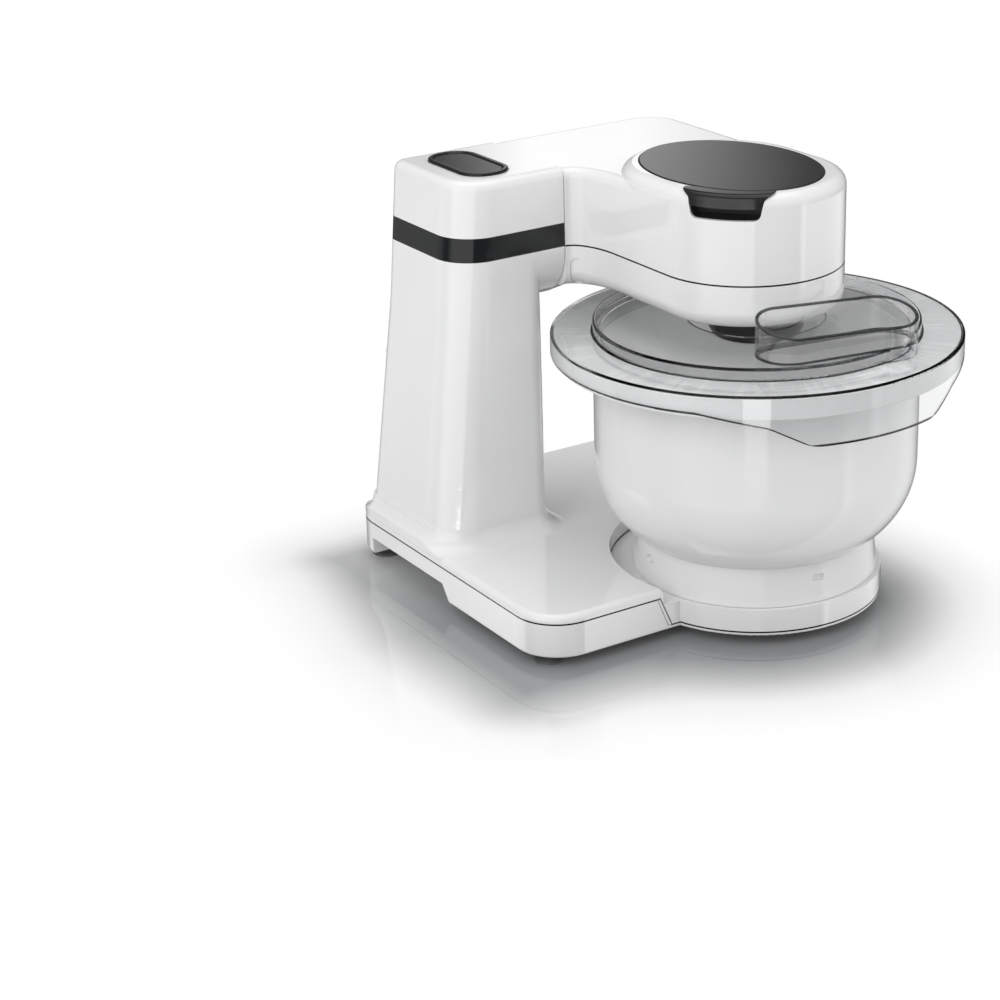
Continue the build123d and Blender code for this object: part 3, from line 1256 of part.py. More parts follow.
# Motor hung from the arm's ceiling, and the belt to the drive shaft
STATOR_LOW = MOTOR_LOW_Z + MOTOR_PLATE_T
with BuildPart() as motor_frame:
    drum(0, MOTOR_Y, MOTOR_FRAME_R, MOTOR_LOW_Z, STATOR_LOW)
    drum(0, MOTOR_Y, MOTOR_FRAME_R, MOTOR_HIGH_Z, ARM_CEILING)
    with BuildSketch(level(STATOR_LOW)):
        with Locations((0, MOTOR_Y)):
            with PolarLocations(MOTOR_FRAME_R - 2.2, 4, start_angle=45):
                Circle(2.0)
    extrude(amount=MOTOR_HIGH_Z - STATOR_LOW)
    drum(0, MOTOR_Y, BEARING_R, MOTOR_LOW_Z, ARM_CEILING, mode=Mode.SUBTRACT)
motor_frame.part.label = "motor_frame"
export_step(motor_frame.part, "parts/motor_frame.step")

with BuildPart() as motor_bearings:
    for low in (MOTOR_LOW_Z, MOTOR_HIGH_Z):
        drum(0, MOTOR_Y, BEARING_R, low, low + MOTOR_PLATE_T)
    drum(0, MOTOR_Y, MOTOR_SHAFT_R + RUN, MOTOR_LOW_Z, ARM_CEILING, mode=Mode.SUBTRACT)
motor_bearings.part.label = "motor_bearings"
export_step(motor_bearings.part, "parts/motor_bearings.step")

with BuildPart() as motor_stator:
    drum(0, MOTOR_Y, STATOR_R, STATOR_LOW, STATOR_LOW + STATOR_H)
    drum(0, MOTOR_Y, STATOR_BORE_R, STATOR_LOW, STATOR_LOW + STATOR_H, mode=Mode.SUBTRACT)
motor_stator.part.label = "motor_stator"
export_step(motor_stator.part, "parts/motor_stator.step")

with BuildPart() as motor_shaft:
    drum(0, MOTOR_Y, MOTOR_SHAFT_R, PULLEY_Z, ARM_CEILING - FIT)
motor_shaft.part.label = "motor_shaft"
export_step(motor_shaft.part, "parts/motor_shaft.step")

with BuildPart() as armature:
    drum(0, MOTOR_Y, STATOR_BORE_R - ARMATURE_GAP, STATOR_LOW + FIT, STATOR_LOW + STATOR_H - 4)
    drum(0, MOTOR_Y, COMMUTATOR_R, STATOR_LOW + STATOR_H - 4, MOTOR_HIGH_Z - FIT)
    with BuildSketch(level(STATOR_LOW + FIT)):
        with Locations((0, MOTOR_Y)):
            with PolarLocations(STATOR_BORE_R - ARMATURE_GAP - 1, 12):
                Rectangle(4.0, 2.4)
    extrude(amount=STATOR_H, mode=Mode.SUBTRACT)
    drum(0, MOTOR_Y, MOTOR_SHAFT_R, STATOR_LOW, MOTOR_HIGH_Z, mode=Mode.SUBTRACT)
armature.part.label = "armature"
export_step(armature.part, "parts/armature.step")

with BuildPart() as motor_pulley:
    drum(0, MOTOR_Y, MOTOR_PULLEY_R, PULLEY_Z, PULLEY_TOP)
    drum(0, MOTOR_Y, MOTOR_SHAFT_R, PULLEY_Z, PULLEY_TOP, mode=Mode.SUBTRACT)
motor_pulley.part.label = "motor_pulley"
export_step(motor_pulley.part, "parts/motor_pulley.step")

with BuildPart() as drive_belt:
    with BuildSketch(level(PULLEY_Z + 0.5)) as outside:
        Circle(PULLEY_R + FIT + BELT_T)
        with Locations((0, MOTOR_Y)):
            Circle(MOTOR_PULLEY_R + FIT + BELT_T)
        make_hull()
    extrude(amount=BELT_W)
    with BuildSketch(level(PULLEY_Z + 0.5)) as inside:
        Circle(PULLEY_R + FIT)
        with Locations((0, MOTOR_Y)):
            Circle(MOTOR_PULLEY_R + FIT)
        make_hull()
    extrude(amount=BELT_W, mode=Mode.SUBTRACT)
drive_belt.part.label = "drive_belt"
export_step(drive_belt.part, "parts/drive_belt.step")
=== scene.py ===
import math

import bpy
from mathutils import Matrix, Vector


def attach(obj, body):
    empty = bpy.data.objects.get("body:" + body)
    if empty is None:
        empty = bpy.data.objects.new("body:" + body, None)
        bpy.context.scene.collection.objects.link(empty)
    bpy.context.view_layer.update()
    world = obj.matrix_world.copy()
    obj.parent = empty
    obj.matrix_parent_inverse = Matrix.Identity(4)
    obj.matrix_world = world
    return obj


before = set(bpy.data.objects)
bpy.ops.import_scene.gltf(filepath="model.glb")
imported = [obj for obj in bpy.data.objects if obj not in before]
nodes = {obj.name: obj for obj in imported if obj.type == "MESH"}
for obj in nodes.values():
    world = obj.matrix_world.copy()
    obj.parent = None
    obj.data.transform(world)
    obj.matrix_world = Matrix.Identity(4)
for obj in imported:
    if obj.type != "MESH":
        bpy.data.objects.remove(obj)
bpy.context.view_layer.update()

# Sizes of the machine in metres, heights from the table. The bowl's axis:
BOWL_X = 0.0251
BOWL_Y = -0.0456

# Parting lines of the arm and the base, and the radii between which the base's line steps down
ARM_SEAM_Z = 0.228
BASE_SEAM_Z = 0.02975
DISC_SEAM_Z = 0.00975
STEP_INNER_R = 0.0880
STEP_OUTER_R = 0.0965
# HAIRLINE is half the width of the painted shade along the parting lines
HAIRLINE = 0.00055

# Lid, in plan from the bowl's axis: ring, plateau, width of its painted dark edges, depth of the
# ring's painted shade, lip and chute
LID_R = 0.1298
LID_TOP = 0.1835
PLATEAU_R = 0.1030
PLATEAU_TOP = 0.1915
LID_HOLE_R = 0.0430
LID_EDGE = 0.0009
RING_DEPTH = 0.0025
LIP_TURN = math.radians(-92)
LIP_TOP = 0.1706
LIP_DROP = 0.0200
LIP_REACH = 0.1000
LIP_SHOULDER = 0.0680
LIP_SHOULDER_DROP = 0.0075
LIP_LOW_HALF = 0.0450
CHUTE_Y = -0.0790
CHUTE_WIDTH = 0.0400
CHUTE_RIM_Z = 0.2105
CHUTE_RIM_FALL = 0.0090

# Base plate and disc, and how far the painted shade round them on the table lies to the left and to
# the front
PLATE_X = -0.0329
PLATE_Y = 0.0519
PLATE_HALF_X = 0.1220
PLATE_HALF_Y = 0.1235
DISC_R = 0.0820
SHADE_LEFT = 0.0200
SHADE_FORWARD = 0.0100

# How the painted shade of the two blends, how far it reaches, how it draws in behind, and where white
# starts
SHADE_BLEND = 0.05
SHADE_REACH = 0.06
SHADE_BACK_START = 0.04
SHADE_BACK_END = 0.16
SHADE_BACK_CUT = 0.025
WHITE_FROM = 0.02
WHITE_ALL = 0.11

# Speed dial: its grip ribs, and the numbers round it, which stand on the seat by half their depth
DIAL_R = 0.022
RIB_COUNT = 30
NUMBER_COUNT = 5
NUMBER_STEP = 60
NUMBER_RING_R = 0.024
NUMBER_SIZE = 0.0036
NUMBER_HALF_DEPTH = 0.00012


def on_machine(x, y, z):
    """Place in metres of a point given in millimetres from the bowl's axis and the table."""
    return Vector((BOWL_X + x / 1000, BOWL_Y + y / 1000, z / 1000))


class Value:
    """A number that varies over a surface. Arithmetic on it adds Math nodes to its tree."""

    def __init__(self, finish, socket):
        self.finish = finish
        self.socket = socket

    def combine(self, operation, first, second):
        return self.finish.node("ShaderNodeMath", {"operation": operation}, {0: first, 1: second})

    def __add__(self, other):
        return self.combine("ADD", self, other)

    __radd__ = __add__

    def __sub__(self, other):
        return self.combine("SUBTRACT", self, other)

    def __rsub__(self, other):
        return self.combine("SUBTRACT", other, self)

    def __mul__(self, other):
        return self.combine("MULTIPLY", self, other)

    __rmul__ = __mul__

    def __lt__(self, other):
        return self.combine("LESS_THAN", self, other)

    def __gt__(self, other):
        return self.combine("GREATER_THAN", self, other)

    def __abs__(self):
        return self.combine("ABSOLUTE", self, 0.0)

    def most(self, other):
        return self.combine("MAXIMUM", self, other)

    def near(self, middle, half):
        """1 within half a width of the middle, and 0 beyond it."""
        return abs(self - middle) < half


class Finish:
    """A tree of shader nodes: a finish of the machine, the table, or the studio round them."""

    def __init__(self, tree, shader):
        self.tree = tree
        self.shader = tree.nodes[shader]

    def node(self, kind, settings=None, inputs=None, output=0):
        made = self.tree.nodes.new(kind)
        for key, value in (settings or {}).items():
            setattr(made, key, value)
        for key, value in (inputs or {}).items():
            self.feed(made.inputs[key], value)
        return Value(self, made.outputs[output])

    def feed(self, socket, value):
        if isinstance(value, Value):
            self.tree.links.new(value.socket, socket)
        else:
            socket.default_value = value

    def set(self, **sockets):
        for key, value in sockets.items():
            self.feed(self.shader.inputs[key.replace("_", " ")], value)

    def axes(self, vector):
        split = self.node("ShaderNodeSeparateXYZ", {}, {"Vector": vector}).socket.node
        return [Value(self, split.outputs[axis]) for axis in "XYZ"]

    def noise(self, where, scale, detail=3.0, stretch=None):
        if stretch:
            where = self.node("ShaderNodeMapping", {}, {"Vector": where, "Scale": stretch})
        inputs = {"Vector": where, "Scale": scale, "Detail": detail}
        return self.node("ShaderNodeTexNoise", {}, inputs)

    def ramp(self, amount, low, high, kind="LINEAR"):
        """Goes from 0 to 1 as the amount goes from low to high."""
        return self.node(
            "ShaderNodeMapRange",
            {"clamp": True, "interpolation_type": kind},
            {"Value": amount, "From Min": low, "From Max": high},
        )

    def shade(self, amount, first, second):
        """Colour between two, each a colour or a socket. The Mix node's sockets go by number."""
        ends = [end if isinstance(end, Value) else (*end, 1.0) for end in (first, second)]
        inputs = {0: amount, 6: ends[0], 7: ends[1]}
        return self.node("ShaderNodeMix", {"data_type": "RGBA"}, inputs, output=2)

    def bump(self, height, depth):
        return self.node("ShaderNodeBump", {}, {"Height": height, "Distance": depth, "Strength": 1.0})

    def seen(self):
        """1 for what the camera sees, straight or through the lid, and 0 for light on its way."""
        straight = self.node("ShaderNodeLightPath", output="Is Camera Ray")
        return straight.most(self.node("ShaderNodeLightPath", output="Is Transmission Ray"))


def new_finish(name):
    """A new material, with where it lies on the machine as its place."""
    material = bpy.data.materials.new(name)
    material.use_nodes = True
    finish = Finish(material.node_tree, "Principled BSDF")
    finish.material = material
    finish.place = finish.node("ShaderNodeTexCoord", output="Object")
    return finish


def from_bowl_axis(finish, x, y):
    """Distance from the bowl's axis."""
    plan = finish.node("ShaderNodeCombineXYZ", {}, {"X": x - BOWL_X, "Y": y - BOWL_Y})
    return finish.node("ShaderNodeVectorMath", {"operation": "LENGTH"}, {0: plan}, output="Value")


def white_moulding(name, seam_shade=None, roughness=0.06):
    """Glossy white moulded plastic, with a faint flow in its gloss and painted shade along its
    parting lines.
    """
    finish = new_finish(name)
    flow = finish.noise(finish.place, 9.0, 2.0)
    ripple = finish.noise(finish.place, 160.0, 2.0)
    colour = finish.shade(finish.ramp(flow, 0.3, 0.7), (0.790, 0.793, 0.793), (0.825, 0.826, 0.824))
    if seam_shade:
        # Painted shade: the parting lines are coloured near black
        colour = finish.shade(seam_shade(finish), colour, (0.03, 0.03, 0.032))
    finish.set(Base_Color=colour, Roughness=finish.ramp(flow, 0.25, 0.75) * 0.04 + roughness, IOR=1.5)
    finish.set(Normal=finish.bump(ripple, 0.000006), Coat_Weight=0.35, Coat_Roughness=0.03)
    return finish.material


# Painted shade along the parting line between the arm's two shells
def arm_seam(finish):
    z = finish.axes(finish.place)[2]
    return z.near(ARM_SEAM_Z, HAIRLINE)


# Painted shade along the parting line of the base, which runs lower round the bowl's disc
def base_seam(finish):
    x, y, z = finish.axes(finish.place)
    plan = from_bowl_axis(finish, x, y)
    plate = z.near(BASE_SEAM_Z, HAIRLINE) * (plan > STEP_OUTER_R)
    disc = z.near(DISC_SEAM_Z, HAIRLINE) * (plan < STEP_INNER_R)
    climb = finish.ramp(plan, STEP_INNER_R, STEP_OUTER_R) * (BASE_SEAM_Z - DISC_SEAM_Z)
    step = (z - DISC_SEAM_Z).near(climb, 2 * HAIRLINE)
    return plate.most(disc).most(step * (plan > STEP_INNER_R) * (plan < STEP_OUTER_R))


# Inner side of the bowl, painted a paler white than the outside as light on its shaded inside
def facing_in(finish):
    normal = finish.node("ShaderNodeNewGeometry", output="Normal")
    x, y = finish.axes(finish.place)[:2]
    inward = finish.node("ShaderNodeCombineXYZ", {}, {"X": BOWL_X - x, "Y": BOWL_Y - y})
    dot = {"operation": "DOT_PRODUCT"}
    along = finish.node("ShaderNodeVectorMath", dot, {0: normal, 1: inward}, output="Value")
    return along > 0.0


def bowl_moulding():
    """White moulded bowl with fine drag marks up its wall."""
    finish = new_finish("bowl_white")
    cloud = finish.noise(finish.place, 14.0, 3.0)
    drag = finish.noise(finish.place, 260.0, 2.0, stretch=(1.0, 1.0, 0.04))
    outside = finish.shade(finish.ramp(cloud, 0.3, 0.7), (0.755, 0.758, 0.760), (0.780, 0.782, 0.784))
    # Painted light: the bowl's inside is a paler white than its outside
    finish.set(
        Base_Color=finish.shade(facing_in(finish), outside, (0.870, 0.872, 0.872)),
        Roughness=drag * 0.03 + 0.085,
        IOR=1.36,
        Normal=finish.bump(drag, 0.000002),
    )
    return finish.material


def dark_moulding(name, dark, pale, roughness, grain, depth, index=1.5):
    """Moulded plastic, mostly dark, with an even sparked grain."""
    finish = new_finish(name)
    cloud = finish.noise(finish.place, 25.0, 2.0)
    spark = finish.noise(finish.place, grain, 2.0)
    finish.set(
        Base_Color=finish.shade(finish.ramp(cloud, 0.3, 0.7), dark, pale),
        Roughness=spark * 0.12 + (roughness - 0.06),
        IOR=index,
        Normal=finish.bump(spark, depth),
    )
    return finish.material


# Dark lines painted as shade on the edges of the clear lid, where light leaves it sideways and they
# look dark
def lid_edges(finish):
    x, y, z = finish.axes(finish.place)
    plan = from_bowl_axis(finish, x, y)
    on_ring = z.near(LID_TOP, LID_EDGE)
    below_chute = z < PLATEAU_TOP + 0.0002
    ring = (plan > LID_R - 0.0008) * on_ring
    shoulder = (plan - PLATEAU_R).near(-0.0003, 0.0011) * (z > PLATEAU_TOP - 0.0016) * below_chute
    foot = plan.near(PLATEAU_R, 0.0012) * on_ring
    hole = (plan < LID_HOLE_R + LID_EDGE) * below_chute
    slope = CHUTE_RIM_FALL / CHUTE_WIDTH
    under_rim = (y - BOWL_Y - CHUTE_Y) * slope + CHUTE_RIM_Z - z
    chute_rim = (under_rim < LID_EDGE) * (z > PLATEAU_TOP + 0.004)
    chute_foot = (z - PLATEAU_TOP).near(0.0004, 0.0004)
    across = (y - BOWL_Y) * math.cos(LIP_TURN) - (x - BOWL_X) * math.sin(LIP_TURN)
    drop = finish.ramp(abs(across), LIP_REACH, LIP_SHOULDER) * LIP_SHOULDER_DROP
    low_drop = LIP_DROP - LIP_SHOULDER_DROP
    drop = drop + finish.ramp(abs(across), LIP_SHOULDER, LIP_LOW_HALF) * low_drop
    lip = (z + drop - LIP_TOP) < LID_EDGE
    edges = ring
    for line in (shoulder, foot, hole, chute_rim, chute_foot, lip):
        edges = edges.most(line)
    return edges


def clear_moulding():
    """Clear plastic with a grey cast, painted a deeper grey as shade on the ring and the skirt, and
    painted dark edges.
    """
    finish = new_finish("clear_lid")
    flow = finish.noise(finish.place, 18.0, 2.0)
    x, y, z = finish.axes(finish.place)
    ring = (from_bowl_axis(finish, x, y) > PLATEAU_R + 0.0015) * (z > LID_TOP - RING_DEPTH)
    skirt = z < LID_TOP - RING_DEPTH
    chute = z > PLATEAU_TOP + 0.0010
    clear = finish.shade(finish.ramp(flow, 0.3, 0.7), (0.965, 0.970, 0.975), (0.975, 0.980, 0.985))
    # Painted shade: the ring and the skirt are given a deeper grey
    clear = finish.shade(ring, clear, (0.800, 0.808, 0.812))
    clear = finish.shade(skirt, clear, (0.870, 0.876, 0.880))
    edges = lid_edges(finish)
    finish.set(
        # Painted shade: the lid's edges are coloured near black
        Base_Color=finish.shade(edges, clear, (0.02, 0.022, 0.024)),
        Roughness=finish.ramp(flow, 0.2, 0.8) * 0.015 + 0.005,
        Alpha=edges.most(1 - chute * 0.7),
    )
    finish.set(Transmission_Weight=1.0, IOR=1.42)
    return finish.material


def foot_rubber():
    """Dark rubber, dull with dust."""
    finish = new_finish("foot_rubber")
    dust = finish.noise(finish.place, 180.0, 4.0)
    finish.set(
        Base_Color=finish.shade(
            finish.ramp(dust, 0.35, 0.7), (0.07, 0.073, 0.073), (0.11, 0.114, 0.114)
        ),
        Roughness=dust * 0.2 + 0.45,
        Normal=finish.bump(dust, 0.00004),
    )
    return finish.material


def turned_metal(name, dark, pale, roughness, stretch, scale=300.0):
    """Metal with the fine lines that its tool leaves."""
    finish = new_finish(name)
    lines = finish.noise(finish.place, scale, 3.0, stretch=stretch)
    finish.set(
        Base_Color=finish.shade(finish.ramp(lines, 0.3, 0.7), dark, pale),
        Metallic=1.0,
        Roughness=lines * 0.16 + (roughness - 0.08),
        Normal=finish.bump(lines, 0.00003),
    )
    return finish.material


def winding_copper():
    """Varnished copper turns round the motor's axis."""
    finish = new_finish("copper_windings")
    turns = finish.node(
        "ShaderNodeTexWave",
        {"wave_type": "BANDS", "bands_direction": "Z"},
        {"Vector": finish.place, "Scale": 160.0, "Distortion": 1.5, "Detail": 1.0},
        output="Fac",
    )
    finish.set(
        Base_Color=finish.shade(turns, (0.20, 0.07, 0.03), (0.70, 0.32, 0.14)),
        Metallic=0.9,
        Roughness=turns * 0.15 + 0.25,
        Normal=finish.bump(turns, 0.0002),
    )
    return finish.material


def toothed_belt():
    """Black belt with moulded cross ribs."""
    finish = new_finish("belt_rubber")
    ribs = finish.node(
        "ShaderNodeTexWave",
        {"wave_type": "BANDS", "bands_direction": "Y"},
        {"Vector": finish.place, "Scale": 80.0},
        output="Fac",
    )
    finish.set(
        Base_Color=finish.shade(ribs, (0.012, 0.012, 0.012), (0.04, 0.04, 0.04)),
        Roughness=ribs * 0.1 + 0.55,
        Normal=finish.bump(ribs, 0.0003),
    )
    return finish.material


def lacquered_board():
    """Green board with paler copper tracks under its lacquer."""
    finish = new_finish("board_lacquer")
    tracks = finish.node(
        "ShaderNodeTexBrick",
        {"offset": 0.5},
        {"Vector": finish.place, "Scale": 90.0, "Mortar Size": 0.04},
        output="Fac",
    )
    finish.set(
        Base_Color=finish.shade(tracks, (0.015, 0.10, 0.04), (0.06, 0.26, 0.10)),
        Roughness=tracks * 0.1 + 0.25,
    )
    return finish.material


housing_white = white_moulding("housing_white", arm_seam)
base_white = white_moulding("base_white", base_seam)
socket_white = white_moulding("socket_white", roughness=0.22)
band_black = dark_moulding(
    "band_black", (0.010, 0.011, 0.012), (0.014, 0.015, 0.016), 0.09, 900.0, 0.000003, index=1.42
)
cover_grey = dark_moulding(
    "cover_grey", (0.018, 0.018, 0.019), (0.024, 0.024, 0.025), 0.14, 1600.0, 0.000006
)
button_grey = dark_moulding(
    "button_grey", (0.012, 0.012, 0.014), (0.017, 0.017, 0.019), 0.15, 1500.0, 0.000008, index=1.4
)
hub_black = dark_moulding(
    "hub_black", (0.010, 0.010, 0.010), (0.018, 0.018, 0.018), 0.30, 1200.0, 0.00002
)
gear_resin = dark_moulding("gear_resin", (0.66, 0.63, 0.53), (0.72, 0.70, 0.60), 0.42, 800.0, 0.00003)
mark_white = dark_moulding("mark_white", (0.70, 0.70, 0.70), (0.76, 0.76, 0.76), 0.45, 900.0, 0.00001)
mark_dark = dark_moulding("mark_dark", (0.02, 0.02, 0.02), (0.03, 0.03, 0.03), 0.5, 900.0, 0.00001)
ground_steel = turned_metal(
    "ground_steel", (0.46, 0.46, 0.47), (0.64, 0.64, 0.65), 0.28, (1.0, 1.0, 12.0)
)
cast_alloy = turned_metal(
    "cast_alloy", (0.55, 0.56, 0.57), (0.72, 0.72, 0.73), 0.42, (1.0, 1.0, 1.0), scale=500.0
)
bronze = turned_metal(
    "sintered_bronze", (0.36, 0.22, 0.09), (0.55, 0.37, 0.16), 0.40, (1.0, 1.0, 1.0), scale=700.0
)

finishes = {
    "body_shell": base_white,
    "base_tray": base_white,
    "bowl_socket": socket_white,
    "band_trim": band_black,
    "suction_feet": foot_rubber(),
    "hinge_bush": gear_resin,
    "latch_bracket": gear_resin,
    "button_spring": ground_steel,
    "speed_switch": hub_black,
    "control_board": lacquered_board(),
    "cord_gland": hub_black,
    "housing_screws": ground_steel,
    "release_button": button_grey,
    "speed_dial": button_grey,
    "arm_upper_shell": housing_white,
    "arm_lower_shell": housing_white,
    "pivot_journal": cast_alloy,
    "journal_ring": ground_steel,
    "motor_frame": cast_alloy,
    "motor_stator": ground_steel,
    "motor_bearings": bronze,
    "drive_belt": toothed_belt(),
    "gearbox_plate": cast_alloy,
    "ring_gear": gear_resin,
    "shaft_bearings": bronze,
    "drive_well": hub_black,
    "arm_screws": ground_steel,
    "armature": winding_copper(),
    "motor_shaft": ground_steel,
    "motor_pulley": gear_resin,
    "drive_shaft": ground_steel,
    "belt_pulley": gear_resin,
    "blender_coupling": hub_black,
    "planet_carrier": hub_black,
    "tool_spindle": ground_steel,
    "planet_gear": gear_resin,
    "drive_cover": cover_grey,
    "bowl": bowl_moulding(),
    "lid": clear_moulding(),
}
for name, node in nodes.items():
    node.data.materials.clear()
    node.data.materials.append(finishes[name])

# Light goes straight through the clear lid into the bowl
nodes["lid"].visible_shadow = False


def start_piece():
    """Leaves nothing selected, so that an operator acts on the next piece alone."""
    bpy.ops.object.select_all(action="DESELECT")


def pick_faces(piece, direction):
    """Selects the faces of a piece in edit mode that look along a direction."""
    bpy.ops.object.mode_set(mode="OBJECT")
    for face in piece.data.polygons:
        face.select = face.normal.dot(Vector(direction)) > 0.9
    bpy.ops.object.mode_set(mode="EDIT")


def soften(piece, width, segments):
    """Rounds all edges of a piece."""
    rounded = piece.modifiers.new("rounded", "BEVEL")
    rounded.width = width
    rounded.segments = segments
    bpy.ops.object.modifier_apply(modifier=rounded.name)


def settle():
    """Puts the place, turn and size of the picked piece into its mesh."""
    bpy.ops.object.transform_apply(location=True, rotation=True, scale=True)


def finish_piece(pieces, name, material, body):
    """Joins pieces into one, names it, and lets it ride on a body."""
    start_piece()
    for piece in pieces:
        piece.select_set(True)
    whole = pieces[0]
    bpy.context.view_layer.objects.active = whole
    if len(pieces) > 1:
        bpy.ops.object.join()
    whole.name = name
    whole.data.name = name
    whole.data.materials.clear()
    whole.data.materials.append(material)
    bpy.ops.object.shade_smooth_by_angle(angle=math.radians(35))
    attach(whole, body)


def bar(width, depth, height, taper_to, side, rounding):
    """A bar that narrows towards one side, with rounded edges."""
    start_piece()
    bpy.ops.mesh.primitive_cube_add(size=1.0)
    made = bpy.context.active_object
    made.scale = (width, depth, height)
    settle()
    bpy.ops.object.mode_set(mode="EDIT")
    bpy.ops.mesh.select_mode(type="FACE")
    pick_faces(made, side)
    bpy.ops.transform.resize(value=taper_to)
    bpy.ops.object.mode_set(mode="OBJECT")
    soften(made, rounding, 3)
    return made


DIAL = on_machine(-130, 195, 140)


# Grip ribs round the speed dial, the first one modelled and copied round the dial's axis
def dial_ribs():
    rib = bar(0.0018, 0.0095, 0.0012, taper_to=(0.5, 1.0, 1.0), side=(0, 0, 1), rounding=0.0002)
    rib.location = DIAL + Vector((0, 0.0063, DIAL_R))
    settle()
    ribs = [rib]
    for count in range(1, RIB_COUNT):
        start_piece()
        rib.select_set(True)
        bpy.context.view_layer.objects.active = rib
        bpy.ops.object.duplicate(linked=False)
        bpy.ops.transform.rotate(
            value=2 * math.pi * count / RIB_COUNT,
            orient_axis="Y",
            orient_type="GLOBAL",
            center_override=DIAL,
        )
        settle()
        ribs.append(bpy.context.active_object)
    finish_piece(ribs, "dial_ribs", button_grey, "dial")


# White pointer on the dial's ridge, narrow towards the dial's middle
def dial_pointer():
    pointer = bar(0.0018, 0.0008, 0.011, taper_to=(0.4, 1.0, 1.0), side=(0, 0, -1), rounding=0.0002)
    pointer.location = DIAL + Vector((0, 0.01905, 0.0085))
    settle()
    finish_piece([pointer], "dial_pointer", mark_white, "dial")


# Speed numbers on the seat round the dial
def dial_numbers():
    numbers = []
    for step in range(NUMBER_COUNT):
        start_piece()
        bpy.ops.object.text_add()
        text = bpy.context.active_object
        text.data.body = str(step)
        text.data.align_x = "CENTER"
        text.data.align_y = "CENTER"
        text.data.size = NUMBER_SIZE
        text.data.extrude = NUMBER_HALF_DEPTH
        bpy.ops.object.convert(target="MESH")
        number = bpy.context.active_object
        turn = math.radians(-NUMBER_STEP * step)
        number.rotation_euler = (math.pi / 2, 0, math.pi)
        spoke = Vector((-math.sin(turn), 0, math.cos(turn))) * NUMBER_RING_R
        number.location = DIAL + spoke + Vector((0, NUMBER_HALF_DEPTH, 0))
        settle()
        numbers.append(number)
    finish_piece(numbers, "dial_numbers", mark_dark, "base")


dial_ribs()
dial_pointer()
dial_numbers()


# Pale glossy table with painted shade round the base. Farther off it fades to plain white.
def pale_table():
    start_piece()
    bpy.ops.mesh.primitive_plane_add(size=12.0, location=(0, 0, 0))
    table = bpy.context.active_object
    table.name = "table"
    finish = new_finish("table_white")
    x, y = finish.axes(finish.place)[:2]
    x = x + SHADE_LEFT
    y = y + SHADE_FORWARD
    plate_x = finish.ramp(abs(x - PLATE_X) - PLATE_HALF_X, 0.0, 1.0)
    plate_y = finish.ramp(abs(y - PLATE_Y) - PLATE_HALF_Y, 0.0, 1.0)
    corner = finish.node("ShaderNodeCombineXYZ", {}, {"X": plate_x, "Y": plate_y})
    plate = finish.node("ShaderNodeVectorMath", {"operation": "LENGTH"}, {0: corner}, output="Value")
    disc = from_bowl_axis(finish, x, y) - DISC_R
    nearer = {0: plate, 1: disc, 2: SHADE_BLEND}
    beside = finish.node("ShaderNodeMath", {"operation": "SMOOTH_MIN"}, nearer)
    beside = beside + finish.ramp(y, SHADE_BACK_START, SHADE_BACK_END) * SHADE_BACK_CUT
    painted_shade = finish.ramp(beside, 0.0, SHADE_REACH)
    # Painted shade: the table's colour is darker near the base, shifted to the front left
    colour = finish.shade(painted_shade, (0.28, 0.285, 0.29), (0.82, 0.82, 0.825))
    finish.set(Base_Color=colour, Roughness=0.05, IOR=1.5)
    glow = finish.node("ShaderNodeEmission", {}, {"Color": (1.0, 1.0, 1.0, 1.0), "Strength": 1.0})
    away = finish.ramp(beside, WHITE_FROM, WHITE_ALL, "SMOOTHSTEP")
    lit = Value(finish, finish.shader.outputs[0])
    surface = finish.node("ShaderNodeMixShader", {}, {0: away * finish.seen(), 1: lit, 2: glow})
    finish.feed(finish.tree.nodes["Material Output"].inputs["Surface"], surface)
    table.data.materials.append(finish.material)
    table.visible_glossy = False


pale_table()

# White studio. Glossy surfaces mirror its banks of light and the darker room between them.
AMBIENT = 0.82
DARK_ROOM = 0.08
FRONT_EDGE = 241.3
world = bpy.data.worlds.new("studio")
bpy.context.scene.world = world
world.use_nodes = True
studio = Finish(world.node_tree, "Background")
east, north, rise = studio.axes(studio.node("ShaderNodeTexCoord", output="Generated"))


def left_of(degrees):
    """How far a heading lies to the left of a compass line, counted from east towards north."""
    return north * math.cos(math.radians(degrees)) - east * math.sin(math.radians(degrees))


def bank(start, end, start_soft, end_soft):
    """A bank of light between two headings, with soft or sharp sides."""
    inside = studio.ramp(left_of(start), -start_soft, start_soft)
    return inside * studio.ramp(left_of(end), end_soft, -end_soft)


def over(low, high):
    """Fades in from one rise to another, which may lie lower."""
    return studio.ramp(rise, low, high)


# Each bank's headings, the rise that it covers and its strength. The camera looks down, so upright
# walls mirror what lies below the horizon.
low_left = over(-0.38, -0.42) * 1.2 + 0.4
front_left = bank(175, FRONT_EDGE, 0.15, 0.004) * over(0.70, 0.45) * over(-0.46, -0.33) * 1.3
front_strip = bank(226, FRONT_EDGE, 0.01, 0.004) * over(-0.37, -0.355) * over(-0.32, -0.335) * 5.0
front_right = bank(-60.5, -55.2, 0.02, 0.008) * over(0.60, 0.40) * 0.8
right_side = bank(-62, 20, 0.03, 0.20) * over(-0.18, -0.24) * 1.2
left_side = bank(105, 150, 0.05, 0.10) * over(0.0, -0.1) * low_left
behind = bank(53.5, 59.3, 0.035, 0.02) * over(0.00, 0.10) * over(0.37, 0.30) * 0.95
above = over(0.80, 0.88)
banks = front_left + front_strip + front_right + right_side + left_side + behind + above
mirrored = banks + DARK_ROOM
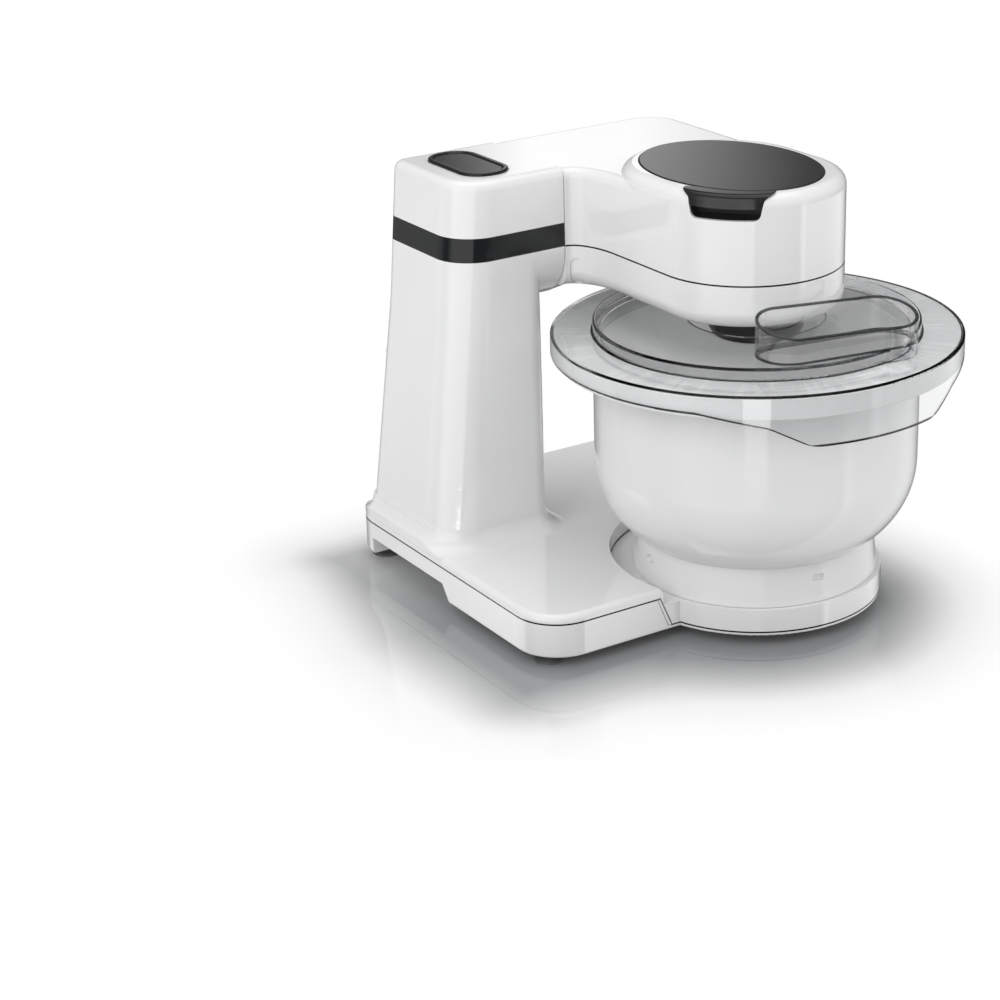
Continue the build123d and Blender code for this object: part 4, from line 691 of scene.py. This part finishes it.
seen = studio.seen()
glossy = studio.node("ShaderNodeLightPath", output="Is Glossy Ray") * (1 - seen)
strength = AMBIENT + seen * (1 - AMBIENT) + glossy * (mirrored - AMBIENT)
studio.set(Color=(1.0, 1.0, 1.0, 1.0), Strength=strength)


def softbox(name, place, target, width, height, power):
    """A lamp with a rectangular face, aimed at a point, which no glossy surface mirrors."""
    lamp = bpy.data.lights.new(name, "AREA")
    lamp.shape = "RECTANGLE"
    lamp.size = width
    lamp.size_y = height
    lamp.energy = power
    holder = bpy.data.objects.new(name, lamp)
    bpy.context.scene.collection.objects.link(holder)
    holder.location = place
    holder.rotation_euler = (Vector(target) - Vector(place)).to_track_quat("-Z", "Y").to_euler()
    holder.visible_glossy = False


softbox("key", (-1.9, -0.6, 1.5), (0, 0, 0.12), 1.4, 1.4, 17.0)
softbox("overhead", (0.1, 0.4, 2.2), (0, 0, 0.1), 1.8, 1.8, 9.0)
softbox("fill", (1.7, -1.3, 1.0), (0, 0, 0.15), 1.0, 1.4, 9.0)

# Camera at the photograph's angle, placed in millimetres from the bowl's axis
CAMERA = (-899.0, -1179.7, 673.7)
LENS_MM = 88.64
SENSOR_MM = 36.0
YAW = math.radians(30.934)
PITCH = math.radians(22.211)
ROLL = math.radians(-1.956)
level_right = Vector((math.cos(YAW), -math.sin(YAW), 0))
ahead = Vector((math.sin(YAW) * math.cos(PITCH), math.cos(YAW) * math.cos(PITCH), -math.sin(PITCH)))
level_up = level_right.cross(ahead)
right = math.cos(ROLL) * level_right + math.sin(ROLL) * level_up
up = math.cos(ROLL) * level_up - math.sin(ROLL) * level_right
lens = bpy.data.cameras.new("camera")
lens.sensor_width = SENSOR_MM
lens.lens = LENS_MM
camera = bpy.data.objects.new("camera", lens)
bpy.context.scene.collection.objects.link(camera)
turn = Matrix((right, up, -ahead)).transposed().to_4x4()
camera.matrix_world = Matrix.Translation(on_machine(*CAMERA)) @ turn
bpy.context.scene.camera = camera

bpy.context.scene.view_settings.view_transform = "Standard"
